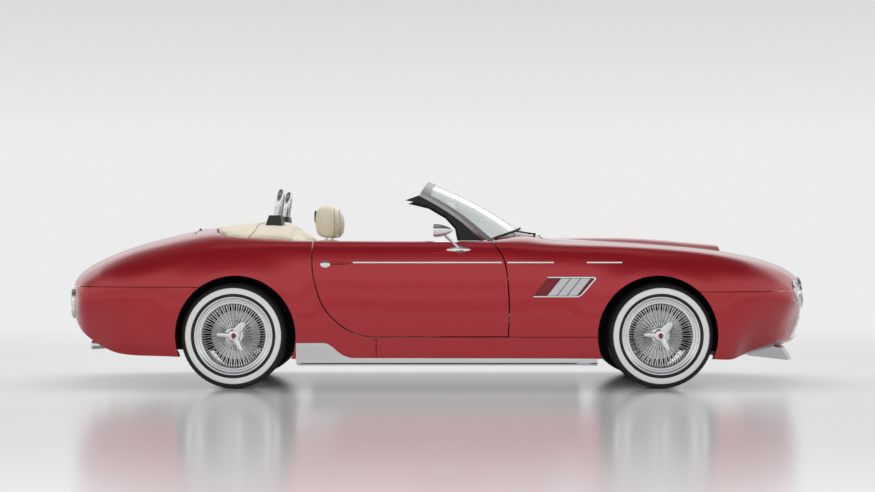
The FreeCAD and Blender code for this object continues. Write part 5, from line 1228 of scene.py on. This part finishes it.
class ROADSTER_OT_trim(bpy.types.Operator):
    """Windscreen, headlamps, grille screen, side trim, exhaust tips and mirror glass"""

    bl_idname = "roadster.trim"
    bl_label = "Lamps and Trim"

    def execute(self, context):
        add_screen_glass()
        for side, word in ((1, "left"), (-1, "right")):
            add_headlamp(side, word)
            face = oval(0.033, 0.033, 40, (side * MIRROR_CENTRE[0], MIRROR_CENTRE[1]))
            glass = profile_block(face, -0.0262, -0.0245, "x", 0.0005)
            piece("mirror_glass_" + word, [glass], "mirror_face", "door_" + word)
            side_trim(side, word)
        screen = profile_block(oval(*GRILLE_HALF, 64, (0.0, GRILLE_Z)), 2.150, 2.156, "x")
        bars = [grille_bar(0.524 + k * 0.0175) for k in range(9)]
        piece("grille_screen", [screen] + bars, "plastic", "chassis")
        mouth = profile_block(MOUTH, 2.140, 2.146, "x")
        piece("mouth_screen", [mouth], "plastic", "chassis")
        piece("exhaust_tips", [exhaust_tip(y) for y in PIPE_YS], "chrome", "chassis")
        fins = [block(2.1005, 2.103, -0.31, 0.31, z, z + 0.004) for z in np.arange(0.29, 0.68, 0.016)]
        piece("radiator_fins", fins, "steel", "chassis")
        return {"FINISHED"}


# Cabin

DIALS = ((0.425, 0.818, 0.047), (0.300, 0.818, 0.047), (0.095, 0.835, 0.031), (0.018, 0.835, 0.031),
         (-0.059, 0.835, 0.031))
WHEEL_RADIUS = 0.182
BOSS_LINE = [(0.0, -0.012), (0.020, -0.011), (0.034, -0.007), (0.042, 0.000), (0.044, 0.010), (0.044, 0.034),
             (0.0, 0.034)]
COLUMN_LINE = [(0.0, 0.030), (0.0138, 0.030), (0.0138, 0.459), (0.0, 0.459)]
CARD_OUTLINE = [(-0.700, 0.890), (-0.730, 0.780), (-0.700, 0.640), (-0.640, 0.520), (-0.540, 0.430),
                (-0.420, 0.395), (-0.100, 0.385), (0.250, 0.385), (0.375, 0.400), (0.392, 0.480),
                (0.392, 0.640), (0.378, 0.780), (0.350, 0.860), (0.320, 0.890), (-0.100, 0.893)]
DOOR_REST_OUTLINE = [(-0.480, 0.600), (-0.470, 0.640), (-0.200, 0.655), (0.080, 0.668), (0.160, 0.660),
                     (0.120, 0.620), (-0.200, 0.600)]
DOOR_RAIL_OUTLINE = [(-0.690, 0.872), (-0.690, 0.886), (0.318, 0.886), (0.330, 0.872)]
PULL_LINE = [(0.150, 0.735, 0.760), (0.150, 0.712, 0.765), (0.210, 0.708, 0.772), (0.262, 0.712, 0.779),
             (0.262, 0.735, 0.784)]
SPEAKER_RADII = (0.075, 0.058, 0.041, 0.024)
MAT_OUTLINE = [(-0.840, 0.150), (-0.840, 0.700), (-0.500, 0.722), (0.200, 0.722), (0.535, 0.690),
               (0.545, 0.160), (0.100, 0.146)]
BOOT_MAT = [(-2.150, -0.470), (-1.545, -0.470), (-1.545, 0.470), (-2.150, 0.470)]
PEDALS = ((0.245, 0.455, 0.330, 0.028, 0.052), (0.345, 0.440, 0.335, 0.042, 0.034),
          (0.450, 0.440, 0.335, 0.038, 0.034))
CONSOLE_PLATE = [(-0.560, -0.070), (0.180, -0.070), (0.180, 0.070), (-0.560, 0.070)]
CONSOLE_REST_LINE = [(-0.590, 0.504), (-0.600, 0.540), (-0.570, 0.566), (-0.400, 0.570), (-0.300, 0.560),
                     (-0.285, 0.530), (-0.300, 0.504)]


def dial_parts(y, z, radius):
    """Chrome ring, dark face, tick marks and needle of one round instrument."""
    x = tree_of("dashboard").ray_cast(Vector((-0.5, y, z)), Vector((1, 0, 0)))[0][0] - 0.001

    def spot(back, reach, a):
        return x - back, y - reach * radius * math.cos(a), z + reach * radius * math.sin(a)

    edge = [(0.93, -0.004), (0.93, 0.009), (1, 0.012), (1.06, 0.009), (1.08, -0.004)]
    ring = facing_back([(radius * share, back) for share, back in edge], 48, (x, y, z))
    face = facing_back([(0.0, 0.004), (radius * 0.93, 0.004), (radius * 0.93, -0.003)], 48, (x, y, z))
    ticks = []
    for k in range(11):
        a = math.radians(225 - 27 * k)
        line = [spot(0.0050, reach, a) for reach in (0.70, 0.77, 0.84)]
        ticks.append(tube(line, 0.0007, 5, (1.0, 0.0, 0.0)))
    line = [spot(0.0065, reach, math.radians(200)) for reach in (0.0, 0.4, 0.72)]
    needle = tube(line, [0.0016, 0.0011, 0.0006], 6)
    boss = facing_back([(0.0, 0.008), (0.004, 0.0075), (0.005, 0.004)], 24, (x, y, z))
    return ring, face, ticks, [needle, boss]


def add_steering_wheel():
    """A rim of round leather, three flat spokes and a domed boss on the tilted column."""
    hub = np.array(STEERING_HUB)
    along = np.array([math.cos(COLUMN_TILT), 0.0, -math.sin(COLUMN_TILT)])
    across = np.array([0.0, 1.0, 0.0])
    up = np.array([math.sin(COLUMN_TILT), 0.0, math.cos(COLUMN_TILT)])
    a = np.linspace(0, 2 * np.pi, 120, endpoint=False)[:, None]
    path = hub + WHEEL_RADIUS * (across * np.cos(a) + up * np.sin(a))
    rim = piece("steering_rim", [tube(path, 0.0135, 20, along, True)], "dark_leather", "steering_wheel",
                60)
    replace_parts(rim, "steering_wheel")
    share = np.linspace(0, 1, 12)[:, None]
    width = 0.0150 - 0.0045 * np.sin(math.pi * share[:, 0])
    spokes = []
    for angle in np.radians((90, 205, 335)):
        outward = across * math.cos(angle) + up * math.sin(angle)
        line = hub + outward * (0.030 + 0.146 * share) + along * (0.016 - 0.014 * share ** 2)
        spokes.append(tube(line, width, 16, along, False, 0.22))
    piece("steering_spokes", spokes, "silver", "steering_wheel", 60)
    for name, line, steps, finish, slot in (
            ("steering_boss", BOSS_LINE, 48, "dark_leather", "black_plastic"),
            ("steering_column", COLUMN_LINE, 32, "steel", "steel")):
        points, faces = turned(line, steps, False)
        placed = hub + points @ np.stack([across, along, up])
        piece(name, [(placed, faces)], finish, "steering_wheel", 50)


def add_door_lining(side, word):
    """A cream card with a dark rail, an armrest, a pull and a speaker on one door."""
    body = "door_" + word

    def lining(outline, y0, y1, edge):
        return [profile_block(outline, *sorted((side * y0, side * y1)), "y", edge)]

    card = lining(smooth_line(CARD_OUTLINE, 90), 0.7355, 0.7445, 0.003)
    rounded(piece("door_card_" + word, card, "leather", body), 0.002, 2)
    rest = lining(DOOR_REST_OUTLINE, 0.700, 0.737, 0.006)
    rounded(piece("armrest_" + word, rest, "leather", body), 0.006, 3)
    rail = lining(DOOR_RAIL_OUTLINE, 0.728, 0.7360, 0.003)
    piece("door_rail_" + word, rail, "dark_leather", body)
    pull = tube(smooth_line(np.array(PULL_LINE) * [1, side, 1], 28), 0.0052, 12, (0.1, 0.2, 1.0))
    piece("door_pull_" + word, [pull], "chrome", body)
    rings = []
    for radius in SPEAKER_RADII:
        line = np.insert(oval(radius, radius, 56, (0.265, 0.500)), 1, side * 0.7345, axis=1)
        rings.append(tube(line, 0.0022, 6, OUTWARDS, True))
    piece("speaker_rings_" + word, rings, "silver", body)


def add_floor_fittings():
    """Carpet mats, pedals, a shift gaiter and the console's top plate and armrest."""
    mats = []
    for side in (-1, 1):
        outline = smooth_line(np.array(MAT_OUTLINE) * [1, side], 80)
        mats.append(profile_block(outline, 0.1864, 0.1925, "z", 0.002))
    mats.append(profile_block(BOOT_MAT, 0.4645, 0.4700, "z", 0.002))
    piece("carpet_mats", mats, "carpet", "chassis")
    pads = []
    for y, x, z, w, h in PEDALS:
        outline = [(y - w, z - h), (y + w, z - h), (y + w, z + h), (y - w, z + h)]
        pads.append(profile_block(outline, x, x + 0.010, "x", 0.003))
        arm = [(x + 0.008, y, z), (x + 0.060, y, z + 0.090), (x + 0.104, y, z + 0.150)]
        pads.append(tube(arm, 0.006, 10))
    piece("pedals", pads, "steel", "chassis")
    plate = profile_block(CONSOLE_PLATE, 0.4995, 0.5035, "z", 0.002)
    rounded(piece("console_plate", [plate], "silver", "chassis"), 0.001, 2)
    share = np.linspace(0, 1, 9)
    radius = 0.052 * (1 - share) ** 1.2 + 0.012 + 0.004 * (np.arange(9) % 2)
    line = np.stack([np.concatenate([[0], radius, [0]]),
                     0.5030 + 0.058 * np.concatenate([[0], share, [1]])], -1)
    points, faces = turned(line, 40, False)
    points = points[:, [0, 2, 1]] + [-0.124, 0, 0]
    piece("shift_gaiter", [(points, faces)], "dark_leather", "chassis", 70)
    armrest = profile_block(smooth_line(CONSOLE_REST_LINE, 40), -0.082, 0.082, "y", 0.010)
    rounded(piece("console_armrest", [armrest], "leather", "chassis"), 0.008, 3)


class ROADSTER_OT_cabin(bpy.types.Operator):
    """Dials, steering wheel, door cards, mats, pedals and console"""

    bl_idname = "roadster.cabin"
    bl_label = "Cabin"

    def execute(self, context):
        rings, faces, ticks, needles = zip(*(dial_parts(*dial) for dial in DIALS))
        piece("dial_rings", rings, "chrome", "chassis")
        piece("dial_faces", faces, "dial", "chassis")
        piece("dial_ticks", sum(ticks, []), "whitewall", "chassis")
        piece("dial_needles", sum(needles, []), "hub_red", "chassis")
        add_steering_wheel()
        for side, word in ((1, "left"), (-1, "right")):
            add_door_lining(side, word)
        add_floor_fittings()
        return {"FINISHED"}


# Engine room

CAM_COVER = [(0.770, 0.7605), (1.250, 0.7605), (1.240, 0.802), (1.215, 0.812), (0.800, 0.812), (0.778, 0.800)]
FILLER_CAP = [(0.0, 0.020), (0.024, 0.018), (0.026, 0.0), (0.0, 0.0)]
PLENUM = [(0.790, 0.790), (0.790, 0.830), (0.830, 0.846), (1.190, 0.846), (1.230, 0.830), (1.230, 0.790)]
RUNNER = [(0.050, 0.820), (0.080, 0.828), (0.102, 0.805), (0.106, 0.770)]
INTAKE_HOSE = [(1.225, 0.0, 0.818), (1.330, 0.0, 0.818), (1.480, 0.060, 0.800), (1.600, 0.130, 0.760)]
UPPER_HOSE = [(1.285, -0.130, 0.700), (1.400, -0.150, 0.730), (1.700, -0.170, 0.700),
              (2.000, -0.180, 0.660), (2.070, -0.180, 0.650)]
LOWER_HOSE = [(1.285, 0.150, 0.420), (1.500, 0.180, 0.380), (1.900, 0.200, 0.340), (2.070, 0.200, 0.330)]
AIR_BOX = [(1.590, 0.660), (1.860, 0.660), (1.860, 0.775), (1.600, 0.790)]
PULLEYS = ((0.0, 0.400, 0.078), (0.130, 0.560, 0.050), (-0.140, 0.540, 0.052), (0.0, 0.620, 0.060))
PULLEY_FACE_X = 1.3175


def cam_cover(side):
    """One bank's cover, its five ribs and its filler cap."""
    y0, y1 = sorted((side * 0.105, side * 0.235))
    ribs = []
    for k in range(5):
        y = side * (0.128 + 0.021 * k)
        ribs.append(tube([(0.825, y, 0.8125), (1.000, y, 0.8125), (1.200, y, 0.8125)], 0.0026, 8))
    points, faces = turned(FILLER_CAP, 32, False)
    cap = points[:, [0, 2, 1]] + [1.218, side * 0.17, 0.811], faces
    return profile_block(CAM_COVER, y0, y1, "y", 0.010), ribs, cap


def pulley(y, z, r):
    """A grooved belt wheel at the engine's front face."""
    line = [(0.0, 0.000), (0.012, 0.004), (0.020, 0.002), (r * 0.8, 0.002), (r, 0.006), (r, 0.012),
            (r - 0.006, 0.016), (r, 0.020), (r, 0.026)]
    return facing_back(line, 48, (PULLEY_FACE_X, y, z))


class ROADSTER_OT_engine(bpy.types.Operator):
    """Cam covers, intake runners, air box, pulleys and hoses around the engine block"""

    bl_idname = "roadster.engine"
    bl_label = "Engine Room"

    def execute(self, context):
        covers, ribs, caps = zip(*(cam_cover(side) for side in (-1, 1)))
        piece("cam_covers", covers, "paint_dark", "chassis")
        piece("cover_ribs", sum(ribs, []), "silver", "chassis")
        piece("filler_caps", caps, "plastic", "chassis")
        plenum = profile_block(smooth_line(PLENUM, 40), -0.060, 0.060, "y", 0.012)
        rounded(piece("intake_plenum", [plenum], "silver", "chassis"), 0.006, 3)
        runners = []
        for k in range(6):
            x = 0.835 + 0.070 * k
            for side in (-1, 1):
                line = smooth_line([(x, side * y, z) for y, z in RUNNER], 20)
                runners.append(tube(line, 0.0150, 14, (1.0, 0.0, 0.0)))
        piece("intake_runners", runners, "silver", "chassis")
        hoses = [tube(smooth_line(INTAKE_HOSE, 50), 0.036, 24), tube(smooth_line(UPPER_HOSE, 60), 0.019, 18),
                 tube(smooth_line(LOWER_HOSE, 60), 0.019, 18)]
        piece("hoses", hoses, "rubber", "chassis", 60)
        air_box = profile_block(AIR_BOX, 0.040, 0.240, "y", 0.010)
        piece("air_box", [air_box], "plastic", "chassis")
        piece("pulleys", [pulley(*place) for place in PULLEYS], "steel", "chassis", 40)
        return {"FINISHED"}


# Stage

BACKDROP_TONE = (0.84, 0.84, 0.845)


def lamp_panel(name, place, target, size, power, colour=(1, 1, 1)):
    """A soft rectangular studio lamp aimed at a point."""
    data = bpy.data.lights.new(name, "AREA")
    data.shape = "RECTANGLE"
    data.size, data.size_y = size
    data.energy = power
    data.color = colour
    obj = bpy.data.objects.new(name, data)
    bpy.context.scene.collection.objects.link(obj)
    obj.location = place
    obj.rotation_euler = (Vector(target) - Vector(place)).to_track_quat("-Z", "Y").to_euler()
    obj.visible_glossy = False
    return obj


def studio_floor():
    """A pale glossy floor whose far end fades into the backdrop's own tone."""
    mesh = bpy.data.meshes.new("floor")
    mesh.from_pydata([(-60, -60, 0), (60, -60, 0), (60, 60, 0), (-60, 60, 0)], [], [(0, 1, 2, 3)])
    floor = bpy.data.objects.new("floor", mesh)
    bpy.context.scene.collection.objects.link(floor)
    material, nodes, links, shader = new_material("studio_floor")
    set_sockets(shader, Base_Color=(0.80, 0.80, 0.805), Roughness=0.16, Specular_IOR_Level=0.5)
    backdrop = nodes.new("ShaderNodeEmission")
    backdrop.inputs["Color"].default_value = (*BACKDROP_TONE, 1)
    coordinates = nodes.new("ShaderNodeTexCoord")
    parts = nodes.new("ShaderNodeSeparateXYZ")
    links.new(coordinates.outputs["Object"], parts.inputs[0])
    fade = nodes.new("ShaderNodeMapRange")
    fade.interpolation_type = "SMOOTHSTEP"
    fade.inputs["From Min"].default_value = 1.6
    fade.inputs["From Max"].default_value = 9.0
    links.new(parts.outputs["Y"], fade.inputs["Value"])
    mix = nodes.new("ShaderNodeMixShader")
    links.new(fade.outputs["Result"], mix.inputs["Fac"])
    links.new(shader.outputs[0], mix.inputs[1])
    links.new(backdrop.outputs[0], mix.inputs[2])
    links.new(mix.outputs[0], nodes["Material Output"].inputs["Surface"])
    mesh.materials.append(material)


def studio_world():
    """Plain light for the car, and a backdrop that pales towards the horizon behind it."""
    world = bpy.data.worlds.new("studio")
    bpy.context.scene.world = world
    world.use_nodes = True
    nodes, links = world.node_tree.nodes, world.node_tree.links
    light = nodes["Background"]
    light.inputs["Color"].default_value = (0.80, 0.81, 0.82, 1)
    light.inputs["Strength"].default_value = 0.50
    plain = nodes.new("ShaderNodeBackground")
    plain.inputs["Strength"].default_value = 1.0
    coordinates = nodes.new("ShaderNodeTexCoord")
    parts = nodes.new("ShaderNodeSeparateXYZ")
    links.new(coordinates.outputs["Generated"], parts.inputs[0])
    tones = ramp(nodes, links, parts.outputs["Z"],
                 [(0.0, BACKDROP_TONE), (0.05, BACKDROP_TONE), (0.13, (0.68, 0.68, 0.685)),
                  (0.22, (0.97, 0.97, 0.975)), (0.44, (0.95, 0.95, 0.955)), (0.60, (0.34, 0.34, 0.345)),
                  (0.74, (0.14, 0.14, 0.145)), (0.93, (0.12, 0.12, 0.125)), (1.0, (0.45, 0.45, 0.455))])
    links.new(tones.outputs["Color"], plain.inputs["Color"])
    path = nodes.new("ShaderNodeLightPath")
    seen = path.outputs["Is Camera Ray"]
    for output in ("Is Glossy Ray", "Is Transmission Ray"):
        either = nodes.new("ShaderNodeMath")
        either.operation = "MAXIMUM"
        links.new(seen, either.inputs[0])
        links.new(path.outputs[output], either.inputs[1])
        seen = either.outputs[0]
    mix = nodes.new("ShaderNodeMixShader")
    links.new(seen, mix.inputs["Fac"])
    links.new(light.outputs[0], mix.inputs[1])
    links.new(plain.outputs[0], mix.inputs[2])
    links.new(mix.outputs[0], nodes["World Output"].inputs["Surface"])


class ROADSTER_OT_stage(bpy.types.Operator):
    """Pale floor, soft studio light and the side-on camera"""

    bl_idname = "roadster.stage"
    bl_label = "Stage and Camera"

    def execute(self, context):
        scene = context.scene
        scene.view_settings.view_transform = "Standard"
        studio_floor()
        studio_world()
        lamp_panel("overhead_softbox", (0, 1.2, 5.0), (0, 0, 0.6), (7.0, 2.4), 170)
        lamp_panel("side_softbox", (0.0, -8.0, 2.6), (0, 0, 0.7), (9.0, 1.2), 200)
        lamp_panel("far_softbox", (-0.5, 7.5, 3.6), (0, 0, 0.5), (9.0, 2.0), 110)
        data = bpy.data.cameras.new("side_view")
        data.lens = 85
        data.sensor_width = 36
        data.clip_end = 200
        camera = bpy.data.objects.new("side_view", data)
        scene.collection.objects.link(camera)
        camera.location = (0, -13.8, 0.896)
        camera.rotation_euler = (math.pi / 2, 0, 0)
        scene.camera = camera
        return {"FINISHED"}


class ROADSTER_PT_panel(bpy.types.Panel):
    """Shows the roadster's settings and a button for each of its steps."""

    bl_label = "Roadster"
    bl_idname = "ROADSTER_PT_panel"
    bl_space_type = "VIEW_3D"
    bl_region_type = "UI"
    bl_category = "Roadster"

    def draw(self, context):
        scene = context.scene
        for group in (scene.roadster_finishes, scene.roadster_wheels, scene.roadster_cabin):
            for key in group.bl_rna.properties.keys():
                if key not in ("rna_type", "name"):
                    self.layout.prop(group, key)
        for operator in OPERATORS:
            self.layout.operator(operator.bl_idname)


GROUPS = (RoadsterFinishes, RoadsterWheels, RoadsterCabin)
OPERATORS = (ROADSTER_OT_bodywork, ROADSTER_OT_wheels, ROADSTER_OT_seats, ROADSTER_OT_trim,
             ROADSTER_OT_cabin, ROADSTER_OT_engine, ROADSTER_OT_stage)


def register():
    for cls in GROUPS + OPERATORS + (ROADSTER_PT_panel,):
        bpy.utils.register_class(cls)
    bpy.types.Scene.roadster_finishes = bpy.props.PointerProperty(type=RoadsterFinishes)
    bpy.types.Scene.roadster_wheels = bpy.props.PointerProperty(type=RoadsterWheels)
    bpy.types.Scene.roadster_cabin = bpy.props.PointerProperty(type=RoadsterCabin)


def unregister():
    for name in ("roadster_finishes", "roadster_wheels", "roadster_cabin"):
        delattr(bpy.types.Scene, name)
    for cls in reversed(GROUPS + OPERATORS + (ROADSTER_PT_panel,)):
        bpy.utils.unregister_class(cls)


def main():
    register()
    for operator in OPERATORS:
        group, name = operator.bl_idname.split(".")
        getattr(getattr(bpy.ops, group), name)()


if __name__ == "__main__":
    main()
